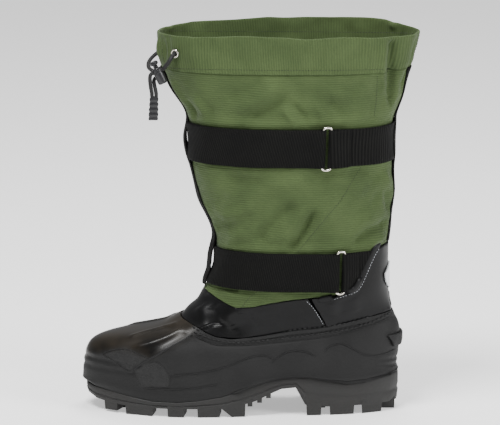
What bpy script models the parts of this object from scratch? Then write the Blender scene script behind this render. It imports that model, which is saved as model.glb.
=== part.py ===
"""Left cold-weather boot: rubber foot, leather cuff and nylon shaft with two straps.

Metres, +Z up. The toe points to -X, the outer side with the buckles to -Y.
The upper is one function, skin_point, of an angle round the boot and a level up it.
Angle 0 is the toe, a quarter turn is the outer side, a half turn is the heel.
"""
import math
from collections import namedtuple
from functools import lru_cache

import bmesh
import bpy
from mathutils import Matrix, Vector

# Driving sizes of the last and the boot
FOOT_LENGTH = 0.321
BALL_WIDTH = 0.111
INSTEP_HEIGHT = 0.128
BOOT_HEIGHT = 0.388
COLLAR_OVERHANG = 0.0193
TOE_SWING = 0.006

# Walls, from the outside of the last inwards
SHELL_WALL = 0.0040
# The foxing band's lower and upper edges and the welt under the collar stand out this far
FOXING_FOOT = 0.0004
FOXING_TOP = 0.0012
SHELL_WELT = 0.0010
LEATHER_WALL = 0.0022
LEATHER_INSET = 0.0010
COUNTER_WALL = 0.0034
COUNTER_OUTSET = 0.0006
SHAFT_WALL = 0.0018
SHAFT_INSET = 0.0008
HEM_WALL = 0.0036
HEM_OUTSET = 0.0006
HEM_DEPTH = 0.036
HEM_EDGE = 0.0010
INNER_BOOT_WALL = 0.0040
INNER_BOOT_DROP = 0.034
INNER_BOOT_CLEARANCE = 0.0010
INNER_BOOT_SEAT = 0.0020
INNER_BOOT_SLACK = 0.0050
INSOLE_THICKNESS = 0.0050
GAP = 0.0003

# Outsole
LUG_DEPTH = 0.009
ARCH_RISE = 0.020
LUG_REACH = 0.024
LUG_TAPER = 0.0010
LUG_OUTSET = 0.0006
# How far a lug's block runs up into the sole
LUG_ROOT = 0.0036
# An edge lug reaches at most this share of the way to the centre line
LUG_REACH_SHARE = 0.6
TOE_SPRING_START = 0.880
TOE_SPRING_RISE = 0.008
SIDE_STEP = 0.0010

# Straps, webbing and hardware
STRAP_WIDTH = 0.0385
STRAP_THICKNESS = 0.0016
# Length of one flat facet along a strap
STRAP_FACET = 0.010
# Slope of the lower strap's ends, along the strap for each unit across it
STRAP_LEAN = 0.58
STRAP_SEAM_GAP = 0.0025
STRAP_JOIN_GAP = 0.0010
UPPER_STRAP_HEIGHT = 0.277
LOWER_STRAP_HEIGHT = 0.149
FRONT_WEBBING_WIDTH = 0.022
BACK_WEBBING_WIDTH = 0.020
WEBBING_THICKNESS = 0.0013
# The front webbing's loose loops over the straps rise this far
LOOP_RISE = 0.0085
# Straps and webbing lie this far off the curved cloth
CLOTH_CLEARANCE = 0.0009
RING_WIRE = 0.0028
RING_HEIGHT = 0.0470
RING_WIDTH = 0.0116
RING_ARCH = 0.0025
UPPER_RING_X = 0.074
LOWER_RING_X = 0.0875
TAB_FOLD_LENGTH = 0.018
# The fold takes at most this share of its tab
TAB_FOLD_SHARE = 0.8
EYELET_DIAMETER = 0.0095
EYELET_HOLE = 0.0050
EYELET_RISE = 0.0010
EYELET_LIP = 0.0006
EYELET_HEIGHT = 0.370
EYELET_X = -0.074
CORD_DIAMETER = 0.0040
# A cord's end lies this far off the piece it goes into
CORD_SEAT = 0.0002
LOCK_DIAMETER = 0.0100
LOCK_LENGTH = 0.0170
LOCK_EDGE = 0.0010
LOCK_NECK_DIAMETER = 0.0044
LOCK_NECK_LENGTH = 0.0035
LOCK_BUTTON_DIAMETER = 0.0084
LOCK_BUTTON_LENGTH = 0.0040
CORD_END_SIZE = (0.0100, 0.0056, 0.0240)
CORD_END_TAPER = 0.86
CORD_END_EDGE = 0.0010
BADGE_WIDTH = 0.036
BADGE_HEIGHT = 0.027
BADGE_THICKNESS = 0.0008
BADGE_CLEARANCE = 0.0009
BADGE_TOP = 0.150
# Where the heel counter's front seam meets the leather's upper and lower edge
COUNTER_TOP_X = 0.058
COUNTER_FOOT_X = 0.0765
# The leather's rows slide along with the seam up to this far in front of and behind it
COUNTER_REACH_FRONT = math.radians(40)
COUNTER_REACH_BACK = math.radians(7)

HEEL_X = (FOOT_LENGTH - COLLAR_OVERHANG) / 2
HALF_BALL = BALL_WIDTH / 2
SHAFT_SPAN = BOOT_HEIGHT - INSTEP_HEIGHT

Ring = namedtuple("Ring", "front back middle width front_z side_z back_z nose tail foot sole")

# Rings up the foot. Lengths are shares of FOOT_LENGTH from the back of the heel, widths
# are shares of half the ball, heights are shares of INSTEP_HEIGHT. foot says how much of
# the sole's outline the ring has, and sole how much of the sole's wavy edge.
FOOT_RINGS = (
    Ring(0.985, 0.004, 0.50, 1.000, 0.195, 0.180, 0.300, 2.4, 2.7, 1.00, 1.00),
    Ring(1.000, 0.002, 0.50, 1.000, 0.285, 0.380, 0.410, 2.4, 2.7, 1.00, 0.55),
    Ring(1.000, -0.001, 0.50, 0.990, 0.405, 0.440, 0.500, 2.4, 2.7, 1.00, 0.15),
    Ring(0.990, -0.007, 0.50, 0.960, 0.485, 0.500, 0.600, 2.4, 2.7, 1.00, 0.00),
    Ring(0.966, 0.001, 0.50, 0.905, 0.547, 0.555, 0.700, 2.4, 2.6, 1.00, 0.00),
    Ring(0.932, 0.019, 0.48, 0.840, 0.582, 0.605, 0.770, 2.4, 2.6, 0.90, 0.00),
    Ring(0.863, 0.029, 0.44, 0.810, 0.617, 0.660, 0.835, 2.4, 2.5, 0.75, 0.00),
    Ring(0.786, 0.032, 0.40, 0.805, 0.643, 0.710, 0.890, 2.4, 2.5, 0.55, 0.00),
    Ring(0.723, 0.033, 0.37, 0.815, 0.695, 0.765, 0.945, 2.3, 2.4, 0.40, 0.00),
    Ring(0.680, 0.035, 0.35, 0.840, 0.766, 0.825, 1.000, 2.3, 2.4, 0.25, 0.00),
    Ring(0.645, 0.035, 0.34, 0.865, 0.875, 0.900, 1.055, 2.2, 2.4, 0.15, 0.00),
    Ring(0.610, 0.035, 0.33, 0.890, 1.000, 1.000, 1.130, 2.2, 2.4, 0.05, 0.00),
)

# Rings up the shaft. Heights are shares of the span from the instep to the rim.
SHAFT_RINGS = (
    Ring(0.585, 0.035, 0.32, 0.920, 0.050, 0.054, 0.115, 2.1, 2.3, 0.00, 0.00),
    Ring(0.580, 0.035, 0.32, 0.930, 0.112, 0.115, 0.162, 2.1, 2.3, 0.00, 0.00),
    Ring(0.583, 0.030, 0.32, 0.940, 0.180, 0.180, 0.215, 2.1, 2.3, 0.00, 0.00),
    Ring(0.605, 0.024, 0.33, 0.955, 0.265, 0.265, 0.290, 2.1, 2.3, 0.00, 0.00),
    Ring(0.639, 0.015, 0.33, 0.990, 0.362, 0.362, 0.377, 2.1, 2.3, 0.00, 0.00),
    Ring(0.656, 0.018, 0.34, 1.020, 0.470, 0.470, 0.477, 2.2, 2.3, 0.00, 0.00),
    Ring(0.655, 0.022, 0.34, 1.045, 0.577, 0.577, 0.577, 2.2, 2.4, 0.00, 0.00),
    Ring(0.670, 0.013, 0.34, 1.070, 0.673, 0.673, 0.673, 2.3, 2.4, 0.00, 0.00),
    Ring(0.723, -0.018, 0.34, 1.100, 0.785, 0.785, 0.785, 2.3, 2.5, 0.00, 0.00),
    Ring(0.754, -0.040, 0.34, 1.120, 0.869, 0.869, 0.869, 2.4, 2.5, 0.00, 0.00),
    Ring(0.762, -0.064, 0.34, 1.140, 0.990, 1.008, 0.990, 2.4, 2.5, 0.00, 0.00),
)

Outline = namedtuple("Outline", "station outer inner")
# The sole's half widths on each side, as shares of half the ball
SOLE_OUTLINE = (
    Outline(0.00, 0.80, 0.80),
    Outline(0.18, 0.83, 0.83),
    Outline(0.38, 0.83, 0.77),
    Outline(0.54, 0.93, 0.82),
    Outline(0.70, 1.01, 0.95),
    Outline(0.80, 1.00, 1.00),
    Outline(0.90, 0.95, 1.00),
    Outline(1.00, 0.90, 0.98),
)

Edge = namedtuple("Edge", "station height")
# Line between the shell and the outsole, in shares of INSTEP_HEIGHT
SOLE_LINE = (
    Edge(0.000, 0.300), Edge(0.072, 0.278), Edge(0.144, 0.245), Edge(0.235, 0.285),
    Edge(0.306, 0.312), Edge(0.415, 0.285), Edge(0.539, 0.175), Edge(0.667, 0.125),
    Edge(0.748, 0.117), Edge(0.813, 0.133), Edge(0.891, 0.164), Edge(1.000, 0.200),
)
# Top of the sole inside the shell, where the insole lies
BED_LINE = (
    Edge(0.000, 0.340), Edge(0.144, 0.330), Edge(0.306, 0.340), Edge(0.415, 0.320),
    Edge(0.539, 0.230), Edge(0.748, 0.175), Edge(0.891, 0.195), Edge(1.000, 0.225),
)
# Bottom of the sole between the lugs, in shares of ARCH_RISE
ARCH_LINE = (
    Edge(0.000, 0.00), Edge(0.278, 0.00), Edge(0.297, 0.12), Edge(0.326, 1.00), Edge(0.371, 0.94),
    Edge(0.403, 0.72), Edge(0.452, 0.34), Edge(0.502, 0.12), Edge(0.552, 0.00), Edge(0.909, 0.00),
    Edge(0.963, 0.18), Edge(1.000, 0.45),
)
# Top edge of the rubber shell, in shares of INSTEP_HEIGHT
SHELL_EDGE = (
    Edge(0.000, 0.795), Edge(0.134, 0.750), Edge(0.247, 0.695), Edge(0.322, 0.680),
    Edge(0.415, 0.640), Edge(0.533, 0.613), Edge(0.589, 0.640), Edge(0.630, 0.690),
    Edge(0.667, 0.727), Edge(0.689, 0.742), Edge(0.714, 0.766), Edge(1.000, 0.900),
)
# Top edge of the leather, which climbs round the heel
LEATHER_EDGE = (
    Edge(0.000, 1.328), Edge(0.075, 1.320), Edge(0.100, 1.200), Edge(0.128, 1.030),
    Edge(0.148, 0.978), Edge(0.290, 0.945), Edge(0.399, 0.906), Edge(0.499, 0.857),
    Edge(0.552, 0.900), Edge(0.617, 0.969), Edge(0.650, 1.000), Edge(1.000, 1.100),
)

# Stations along the foot where every ring has a point
STATIONS = (
    0.981, 0.955, 0.900, 0.840, 0.775, 0.700, 0.630, 0.560, 0.505, 0.452, 0.403, 0.371,
    0.326, 0.297, 0.278, 0.225, 0.165, 0.105, 0.060, 0.030, 0.008,
)

Fold = namedtuple("Fold", "angle low high depth width")
# Deep folds of the slack shaft: angle and width in degrees, heights in shares of BOOT_HEIGHT
FOLDS = (
    Fold(145.0, 0.780, 0.900, 0.0080, 9.0),
    Fold(-152.0, 0.800, 0.920, 0.0045, 9.0),
    Fold(172.0, 0.860, 0.950, 0.0030, 7.0),
)

Step = namedtuple("Step", "share outset")
# Steps of the outsole's side from its lower edge to the shell
SOLE_STEPS = (
    Step(0.00, 0.0), Step(0.30, 1.0), Step(0.36, 0.2), Step(0.46, 0.2), Step(0.52, 1.0),
    Step(0.92, 1.0), Step(1.00, 0.4),
)

Lug = namedtuple("Lug", "front back lean")
# Edge lugs, the same on both sides, as shares of FOOT_LENGTH from the heel
EDGE_LUGS = (
    Lug(0.930, 0.888, 0.020), Lug(0.863, 0.775, 0.012), Lug(0.730, 0.677, 0.010),
    Lug(0.636, 0.564, 0.006), Lug(0.529, 0.484, 0.000), Lug(0.293, 0.245, 0.000),
    Lug(0.220, 0.141, 0.000), Lug(0.119, 0.053, 0.000),
)
CENTRE_LUGS = (
    Lug(0.905, 0.860, 0.000), Lug(0.820, 0.770, 0.000), Lug(0.730, 0.680, 0.000),
    Lug(0.640, 0.590, 0.000), Lug(0.293, 0.230, 0.000), Lug(0.060, 0.012, 0.000),
)
CENTRE_LUG_WIDTH = 0.028

ARCH_RIBS = (0.470, 0.440, 0.412)
ARCH_RIB_LENGTH = 0.0050
ARCH_RIB_DEPTH = 0.0036


def clear_scene():
    for old in list(bpy.data.objects):
        bpy.data.objects.remove(old, do_unlink=True)


def principled(name, colour, roughness, metallic=0.0):
    material = bpy.data.materials.new(name)
    material.use_nodes = True
    shader = material.node_tree.nodes["Principled BSDF"]
    shader.inputs["Base Color"].default_value = (*colour, 1.0)
    shader.inputs["Roughness"].default_value = roughness
    shader.inputs["Metallic"].default_value = metallic
    return material


def station_x(share):
    return HEEL_X - share * FOOT_LENGTH


def station_share(x):
    return (HEEL_X - x) / FOOT_LENGTH


def hermite(start, end, start_slope, end_slope, t):
    cubic = t * t * t
    square = t * t
    return (
        (2 * cubic - 3 * square + 1) * start
        + (cubic - 2 * square + t) * start_slope
        + (3 * square - 2 * cubic) * end
        + (cubic - square) * end_slope
    )


def row_slope(rows, index, field):
    before = rows[max(index - 1, 0)]
    after = rows[min(index + 1, len(rows) - 1)]
    span = after[0] - before[0]
    return (getattr(after, field) - getattr(before, field)) / span


def curve_value(rows, position, field="height"):
    """Smooth curve through a table whose first column rises."""
    if position <= rows[0][0]:
        return getattr(rows[0], field)
    if position >= rows[-1][0]:
        return getattr(rows[-1], field)
    index = max(i for i, row in enumerate(rows) if row[0] <= position)
    index = min(index, len(rows) - 2)
    span = rows[index + 1][0] - rows[index][0]
    return hermite(
        getattr(rows[index], field),
        getattr(rows[index + 1], field),
        row_slope(rows, index, field) * span,
        row_slope(rows, index + 1, field) * span,
        (position - rows[index][0]) / span,
    )


def real_ring(row, base, span):
    return row._replace(
        front=station_x(row.front),
        back=station_x(row.back),
        middle=station_x(row.middle),
        width=row.width * HALF_BALL,
        front_z=base + row.front_z * span,
        side_z=base + row.side_z * span,
        back_z=base + row.back_z * span,
    )


RINGS = [real_ring(row, 0.0, INSTEP_HEIGHT) for row in FOOT_RINGS]
RINGS += [real_ring(row, INSTEP_HEIGHT, SHAFT_SPAN) for row in SHAFT_RINGS]
TOP_LEVEL = len(RINGS) - 1
# Levels over which the wall stands upright on the sole
UPRIGHT_LEVELS = 1.5


@lru_cache(maxsize=None)
def ring_at(level):
    """The ring at any level, on smooth curves through the tables' rows."""
    index = min(max(int(level), 0), TOP_LEVEL - 1)
    t = level - index
    before = RINGS[max(index - 1, 0)]
    start = RINGS[index]
    end = RINGS[index + 1]
    after = RINGS[min(index + 2, TOP_LEVEL)]
    return Ring(*(
        hermite(b, c, (c - a) / 2, (d - b) / 2, t)
        for a, b, c, d in zip(before, start, end, after)
    ))


def fold_depth(angle, height):
    """How far the slack cloth is pushed in at an angle and height."""
    depth = 0.0
    for fold in FOLDS:
        turn = math.degrees(angle) - fold.angle
        turn = (turn + 180.0) % 360.0 - 180.0
        rise = (height / BOOT_HEIGHT - fold.low) / (fold.high - fold.low)
        rise = min(max(rise, 0.0), 1.0)
        ease = rise * rise * (3 - 2 * rise)
        depth += fold.depth * ease * math.exp(-((turn / fold.width) ** 2))
    return depth


@lru_cache(maxsize=None)
def skin_point(angle, level):
    """A point on the outside of the boot's form."""
    ring = ring_at(level)
    turn = math.cos(angle)
    side = math.sin(angle)
    exponent = ring.nose if turn > 0 else ring.tail
    run = abs(turn) ** (2 / exponent)
    spread = abs(side) ** (2 / exponent)
    reach = ring.middle - ring.front if turn > 0 else ring.back - ring.middle
    x = ring.middle - math.copysign(run * reach, turn)
    share = station_share(x)
    outline = curve_value(SOLE_OUTLINE, share, "outer" if side > 0 else "inner")
    half = ring.width * (1 + (outline - 1) * ring.foot)
    forward = max(share - 0.5, 0.0) / 0.5
    y = -math.copysign(half * spread, side) + ring.foot * TOE_SWING * forward ** 2
    end_z = ring.front_z if turn > 0 else ring.back_z
    z = ring.side_z + (end_z - ring.side_z) * turn * turn
    line = curve_value(SOLE_LINE, share) * INSTEP_HEIGHT
    z += (line - z) * ring.sole
    depth = fold_depth(angle, z)
    inward = Vector((ring.middle - x, -y, 0.0))
    if depth > 0 and inward.length > 0:
        inward.normalize()
        x += inward.x * depth
        y += inward.y * depth
    return Vector((x, y, z))


@lru_cache(maxsize=None)
def skin_normal(angle, level):
    turn_step = 0.02
    level_step = 0.05
    low = max(level - level_step, 0.0)
    high = min(level + level_step, TOP_LEVEL)
    round_boot = skin_point(angle + turn_step, level) - skin_point(angle - turn_step, level)
    up_boot = skin_point(angle, high) - skin_point(angle, low)
    normal = round_boot.cross(up_boot).normalized()
    normal.z *= min(level / UPRIGHT_LEVELS, 1.0)
    return normal.normalized()


def wall_point(angle, level, offset):
    """A point off the form: a positive offset is outside it."""
    return skin_point(angle, level) + skin_normal(angle, level) * offset


@lru_cache(maxsize=None)
def level_at(angle, line, lift=0.0):
    """The level where the skin crosses an edge line, or a plain height."""
    low = 0.0
    high = float(TOP_LEVEL)
    for _ in range(32):
        middle = (low + high) / 2
        point = skin_point(angle, middle)
        if isinstance(line, float):
            goal = line
        else:
            goal = curve_value(line, station_share(point.x)) * INSTEP_HEIGHT
        if point.z < goal + lift:
            low = middle
        else:
            high = middle
    return (low + high) / 2


def station_angles():
    """Angles all round the boot whose points on the lowest ring are at STATIONS."""
    ring = RINGS[0]
    angles = [0.0]
    for share in STATIONS:
        x = station_x(share)
        if x < ring.middle:
            run = (ring.middle - x) / (ring.middle - ring.front)
            angles.append(math.acos(run ** (ring.nose / 2)))
        else:
            run = (x - ring.middle) / (ring.back - ring.middle)
            angles.append(math.acos(-(run ** (ring.tail / 2))))
    angles.append(math.pi)
    return angles + [-angle for angle in reversed(angles[1:-1])]


ANGLES = station_angles()


def finish_mesh(name, vertices, faces, material, sharp=35.0):
    mesh = bpy.data.meshes.new(name)
    mesh.from_pydata([tuple(v) for v in vertices], [], faces)
    work = bmesh.new()
    work.from_mesh(mesh)
    bmesh.ops.recalc_face_normals(work, faces=work.faces)
    work.to_mesh(mesh)
    work.free()
    mesh.shade_smooth()
    mesh.set_sharp_from_angle(angle=math.radians(sharp))
    mesh.materials.append(material)
    piece = bpy.data.objects.new(name, mesh)
    bpy.context.scene.collection.objects.link(piece)
    return piece


def grid_faces(start, rows, columns, closed):
    """Quads of a grid of points numbered row by row."""
    faces = []
    last = columns if closed else columns - 1
    for row in range(rows - 1):
        for column in range(last):
            a = start + row * columns + column
            b = start + row * columns + (column + 1) % columns
            faces.append((a, b, b + columns, a + columns))
    return faces


def no_lean(angle, share):
    return 0.0


def wall_band(name, angles, low, high, outer_rows, inner_rows, material, lean=no_lean):
    """A wall between two edges of the form. Rows are (share up the wall, offset), and
    lean says how far a row's point slides round the form."""
    closed = 0.0 in angles and math.pi in angles
    columns = len(angles)
    loop = list(outer_rows) + list(reversed(inner_rows))
    points = []
    for share, offset in loop:
        for upright in angles:
            angle = upright + lean(upright, share)
            level = low(angle) + (high(angle) - low(angle)) * share
            points.append(wall_point(angle, level, offset))
    rows = len(loop)
    faces = grid_faces(0, rows, columns, closed)
    last = columns if closed else columns - 1
    top = (rows - 1) * columns
    for column in range(last):
        after = (column + 1) % columns
        faces.append((top + column, top + after, after, column))
    if not closed:
        for column in (0, columns - 1):
            outer = [row * columns + column for row in range(len(outer_rows))]
            inner = [row * columns + column for row in range(len(outer_rows), rows)]
            faces += end_strip(outer, list(reversed(inner)))
    return finish_mesh(name, points, faces, material)


def end_strip(outer, inner):
    """Triangles and quads that close the end of a wall between two edges of points."""
    faces = []
    i = 0
    j = 0
    while i < len(outer) - 1 or j < len(inner) - 1:
        outer_share = (i + 1) / (len(outer) - 1) if i < len(outer) - 1 else 2.0
        inner_share = (j + 1) / (len(inner) - 1) if j < len(inner) - 1 else 2.0
        if abs(outer_share - inner_share) < 1e-6:
            faces.append((outer[i], outer[i + 1], inner[j + 1], inner[j]))
            i += 1
            j += 1
        elif outer_share < inner_share:
            faces.append((outer[i], outer[i + 1], inner[j]))
            i += 1
        else:
            faces.append((outer[i], inner[j + 1], inner[j]))
            j += 1
    return faces


def even_rows(count, offset):
    return [(i / (count - 1), offset) for i in range(count)]


def shell_low(angle):
    return 0.0


def shell_high(angle):
    return level_at(angle, SHELL_EDGE)


def leather_low(angle):
    return level_at(angle, SHELL_EDGE, GAP * 2)


def leather_high(angle):
    return level_at(angle, LEATHER_EDGE)


def shaft_low(angle):
    return level_at(angle, LEATHER_EDGE, GAP * 2)


def shaft_high(angle):
    return level_at(angle, BOOT_HEIGHT - HEM_DEPTH, -GAP)


def hem_low(angle):
    return level_at(angle, BOOT_HEIGHT - HEM_DEPTH)


def rim(angle):
    return float(TOP_LEVEL)


# Shares of the shell's height where its inside has rows, close together at the toe
SHELL_INNER_ROWS = (0.0, 0.13, 0.24, 0.32, 0.40, 0.48, 0.56, 0.70, 0.85, 1.0)


def build_shell(material):
    """The moulded foot: a raised foxing band below, a step under the collar welt above."""
    outer = [
        (0.00, FOXING_FOOT), (0.10, FOXING_TOP), (0.13, 0.0), (0.25, 0.0), (0.38, 0.0), (0.50, 0.0),
        (0.63, 0.0), (0.76, 0.0), (0.88, 0.0), (0.90, SHELL_WELT), (1.00, SHELL_WELT),
    ]
    inner = [(share, -SHELL_WALL) for share in SHELL_INNER_ROWS]
    return wall_band("foot_shell", ANGLES, shell_low, shell_high, outer, inner, material)


def angles_between(low, high):
    """Angles of the heel half or the front half of the boot, in order round it."""
    ordered = sorted(ANGLES)
    front = [angle for angle in ordered if low <= abs(angle) <= high]
    if high >= math.pi:
        positive = [angle for angle in front if angle > 0]
        negative = [angle + 2 * math.pi for angle in front if angle < 0]
        return positive + negative
    return front


def angle_at_x(edge, x):
    """The angle on the outer side where an edge of the form has a given x."""
    low = 0.0
    high = math.pi
    for _ in range(32):
        middle = (low + high) / 2
        if skin_point(middle, edge(middle)).x < x:
            low = middle
        else:
            high = middle
    return low


def seam_lean(seam):
    """Slides the leather's rows round the boot so that the counter's seam leans."""
    foot = angle_at_x(leather_low, COUNTER_FOOT_X) - seam
    top = angle_at_x(leather_high, COUNTER_TOP_X) - seam

    def lean(angle, share):
        turn = (angle + math.pi) % (2 * math.pi) - math.pi
        reach = COUNTER_REACH_FRONT if abs(turn) < seam else COUNTER_REACH_BACK
        near = max(1 - abs(abs(turn) - seam) / reach, 0.0)
        return math.copysign(near, turn) * (foot + (top - foot) * share)

    return lean


def build_leather(material, seam):
    outer = even_rows(6, -LEATHER_INSET)
    inner = even_rows(5, -LEATHER_INSET - LEATHER_WALL)
    front = angles_between(0.0, seam)
    lean = seam_lean(seam)
    return wall_band("leather_cuff", front, leather_low, leather_high, outer, inner, material, lean)


def build_counter(material, seam):
    outer = even_rows(6, COUNTER_OUTSET)
    inner = even_rows(5, COUNTER_OUTSET - COUNTER_WALL)
    back = angles_between(seam, math.pi)
    first = back[0] + GAP * 2 / HALF_BALL
    last = back[-1] - GAP * 2 / HALF_BALL
    back = [first] + back[1:-1] + [last]
    lean = seam_lean(seam)
    return wall_band("heel_counter", back, leather_low, leather_high, outer, inner, material, lean)


def build_shaft(material):
    outer = even_rows(16, -SHAFT_INSET)
    inner = even_rows(10, -SHAFT_INSET - SHAFT_WALL)
    return wall_band("shaft", ANGLES, shaft_low, shaft_high, outer, inner, material)


def build_hem(material):
    inner_offset = HEM_OUTSET - HEM_WALL
    outer = [(0.0, 0.0), (0.06, HEM_OUTSET), (0.5, HEM_OUTSET), (0.95, HEM_OUTSET)]
    outer.append((1.0, HEM_OUTSET - HEM_EDGE))
    inner = [(0.0, inner_offset), (0.95, inner_offset), (1.0, inner_offset + HEM_EDGE)]
    return wall_band("collar_hem", ANGLES, hem_low, rim, outer, inner, material)


def bed_height(x):
    return curve_value(BED_LINE, station_share(x)) * INSTEP_HEIGHT


def sole_height(x):
    return curve_value(SOLE_LINE, station_share(x)) * INSTEP_HEIGHT


def base_height(x):
    return LUG_DEPTH + curve_value(ARCH_LINE, station_share(x)) * ARCH_RISE


def plan_point(angle, offset):
    """A point of the sole's outline in plan, level with the shell's lower wall."""
    point = skin_point(angle, 0.0)
    side = skin_point(angle + 0.02, 0.0) - skin_point(angle - 0.02, 0.0)
    outward = Vector((-side.y, side.x, 0.0)).normalized()
    if outward.dot(point - Vector((RINGS[0].middle, 0.0, 0.0))) < 0:
        outward = -outward
    return point + outward * offset


def capped_rings(name, rings, material):
    """A closed body of rings of points, whose ends are closed from side to side."""
    columns = len(rings[0])
    points = [point for ring in rings for point in ring]
    faces = grid_faces(0, len(rings), columns, True)
    half = columns // 2
    for start in (0, (len(rings) - 1) * columns):
        for i in range(half):
            a = start + i
            b = start + i + 1
            c = start + (columns - i - 1) % columns
            d = start + (columns - i) % columns
            corners = [a, b] if b == c else [a, b, c]
            if d != a:
                corners.append(d)
            faces.append(tuple(corners))
    return finish_mesh(name, points, faces, material)


def build_insole(material):
    inset = -(SHELL_WALL + GAP * 3)
    rings = []
    for lift in (GAP, GAP + INSOLE_THICKNESS):
        ring = []
        for angle in ANGLES:
            point = plan_point(angle, inset)
            ring.append(Vector((point.x, point.y, bed_height(point.x) + lift)))
        rings.append(ring)
    return capped_rings("insole", rings, material)


# Shares of the inner boot's height where its two faces have rows, close together at the toe
INNER_BOOT_OUTER_ROWS = (
    0.0, 0.06, 0.10, 0.14, 0.18, 0.23, 0.28, 0.33, 0.38, 0.44, 0.51, 0.59, 0.67, 0.74, 0.79, 0.83,
    0.87, 0.92, 1.0,
)
INNER_BOOT_INNER_ROWS = (0.0, 0.10, 0.16, 0.22, 0.30, 0.38, 0.46, 0.60, 0.76, 0.88, 1.0)


def build_inner_boot(material):
    """The felt inner boot, from the insole to a little below the rim."""
    outer_offset = -(SHELL_WALL + INNER_BOOT_CLEARANCE)
    inner_offset = outer_offset - INNER_BOOT_WALL
    base = INSOLE_THICKNESS + INNER_BOOT_SEAT

    def foot(angle):
        height = bed_height(skin_point(angle, 0.5).x) + base
        return level_at(angle, float(height))

    def top(angle):
        return level_at(angle, BOOT_HEIGHT - INNER_BOOT_DROP)

    def slack(share):
        return INNER_BOOT_SLACK * share ** 3

    outer = [(share, outer_offset - slack(share)) for share in INNER_BOOT_OUTER_ROWS]
    inner = [(share, inner_offset - slack(share)) for share in INNER_BOOT_INNER_ROWS]
    return wall_band("inner_boot", ANGLES[::2], foot, top, outer, inner, material)


def lug_prism(work, corners, top):
    """A tapered block from the floor up into the sole."""
    centre = Vector((0.0, 0.0, 0.0))
    for corner in corners:
        centre += corner / len(corners)
    low = []
    high = []
    for corner in corners:
        inward = (centre - corner).normalized() * LUG_TAPER
        floor = corner.z
        low.append(work.verts.new((corner.x + inward.x, corner.y + inward.y, floor)))
        high.append(work.verts.new((corner.x, corner.y, top)))
    count = len(corners)
    work.faces.new(list(reversed(low)))
    work.faces.new(high)
    for i in range(count):
        after = (i + 1) % count
        work.faces.new((low[i], low[after], high[after], high[i]))


def outline_y(x, outer_side, offset):
    """Y of the sole's edge at x on one side."""
    ring = RINGS[0]
    sign = 1.0 if outer_side else -1.0
    if x < ring.middle:
        run = min((ring.middle - x) / (ring.middle - ring.front), 1.0)
        angle = math.acos(run ** (ring.nose / 2))
    else:
        run = min((x - ring.middle) / (ring.back - ring.middle), 1.0)
        angle = math.acos(-(run ** (ring.tail / 2)))
    return plan_point(sign * angle, offset).y


def toe_spring(share):
    """How far the sole's lugs lift off the floor towards the toe."""
    return max(share - TOE_SPRING_START, 0.0) / (1 - TOE_SPRING_START) * TOE_SPRING_RISE


def build_lugs():
    """All lugs as one mesh of separate blocks, to be joined to the sole."""
    work = bmesh.new()
    for lug in EDGE_LUGS:
        for outer_side in (True, False):
            front = station_x(lug.front)
            back = station_x(lug.back)
            lean = lug.lean * FOOT_LENGTH
            sign = 1.0 if outer_side else -1.0
            floor = toe_spring((lug.front + lug.back) / 2)
            front_y = outline_y(front, outer_side, LUG_OUTSET)
            back_y = outline_y(back, outer_side, LUG_OUTSET)
            reach = min(LUG_REACH, min(abs(front_y), abs(back_y)) * LUG_REACH_SHARE)
            corners = [
                Vector((front, front_y, floor)),
                Vector((back, back_y, floor)),
                Vector((back + lean, back_y + sign * reach, floor)),
                Vector((front + lean, front_y + sign * reach, floor)),
            ]
            if not outer_side:
                corners.reverse()
            top = max(base_height(front), base_height(back)) + LUG_ROOT
            lug_prism(work, corners, top)
    for lug in CENTRE_LUGS:
        front = station_x(lug.front)
        back = station_x(lug.back)
        floor = toe_spring((lug.front + lug.back) / 2)
        half = CENTRE_LUG_WIDTH / 2
        corners = [
            Vector((front, -half, floor)),
            Vector((back, -half, floor)),
            Vector((back, half, floor)),
            Vector((front, half, floor)),
        ]
        top = base_height(front) + LUG_ROOT
        lug_prism(work, corners, top)
    for share in ARCH_RIBS:
        x = station_x(share)
        half = ARCH_RIB_LENGTH / 2
        floor = base_height(x) - ARCH_RIB_DEPTH
        near = outline_y(x, True, LUG_OUTSET)
        far = outline_y(x, False, LUG_OUTSET)
        corners = [
            Vector((x - half, near, floor)),
            Vector((x + half, near, floor)),
            Vector((x + half, far, floor)),
            Vector((x - half, far, floor)),
        ]
        lug_prism(work, corners, base_height(x) + LUG_ROOT)
    bmesh.ops.recalc_face_normals(work, faces=work.faces)
    mesh = bpy.data.meshes.new("lug_blocks")
    work.to_mesh(mesh)
    work.free()
    blocks = bpy.data.objects.new("lug_blocks", mesh)
    bpy.context.scene.collection.objects.link(blocks)
    blocks.hide_render = True
    blocks.display_type = "WIRE"
    return blocks


def build_outsole(material):
    rings = []
    for step in SOLE_STEPS:
        ring = []
        for angle in ANGLES:
            edge = plan_point(angle, 0.0)
            low = base_height(edge.x)
            high = sole_height(edge.x) - GAP
            point = plan_point(angle, step.outset * SIDE_STEP)
            ring.append(Vector((point.x, point.y, low + (high - low) * step.share)))
        rings.append(ring)
    inset = -(SHELL_WALL + GAP * 2)
    for rise in (0.0, 1.0):
        ring = []
        for angle in ANGLES:
            edge = plan_point(angle, 0.0)
            point = plan_point(angle, inset)
            low = sole_height(edge.x) - GAP
            high = bed_height(point.x)
            ring.append(Vector((point.x, point.y, low + (high - low) * rise)))
        rings.append(ring)
    sole = capped_rings("outsole", rings, material)
    union = sole.modifiers.new("lugs", "BOOLEAN")
    union.operation = "UNION"
    union.solver = "EXACT"
    union.use_self = True
    union.object = build_lugs()
    return sole


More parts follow.
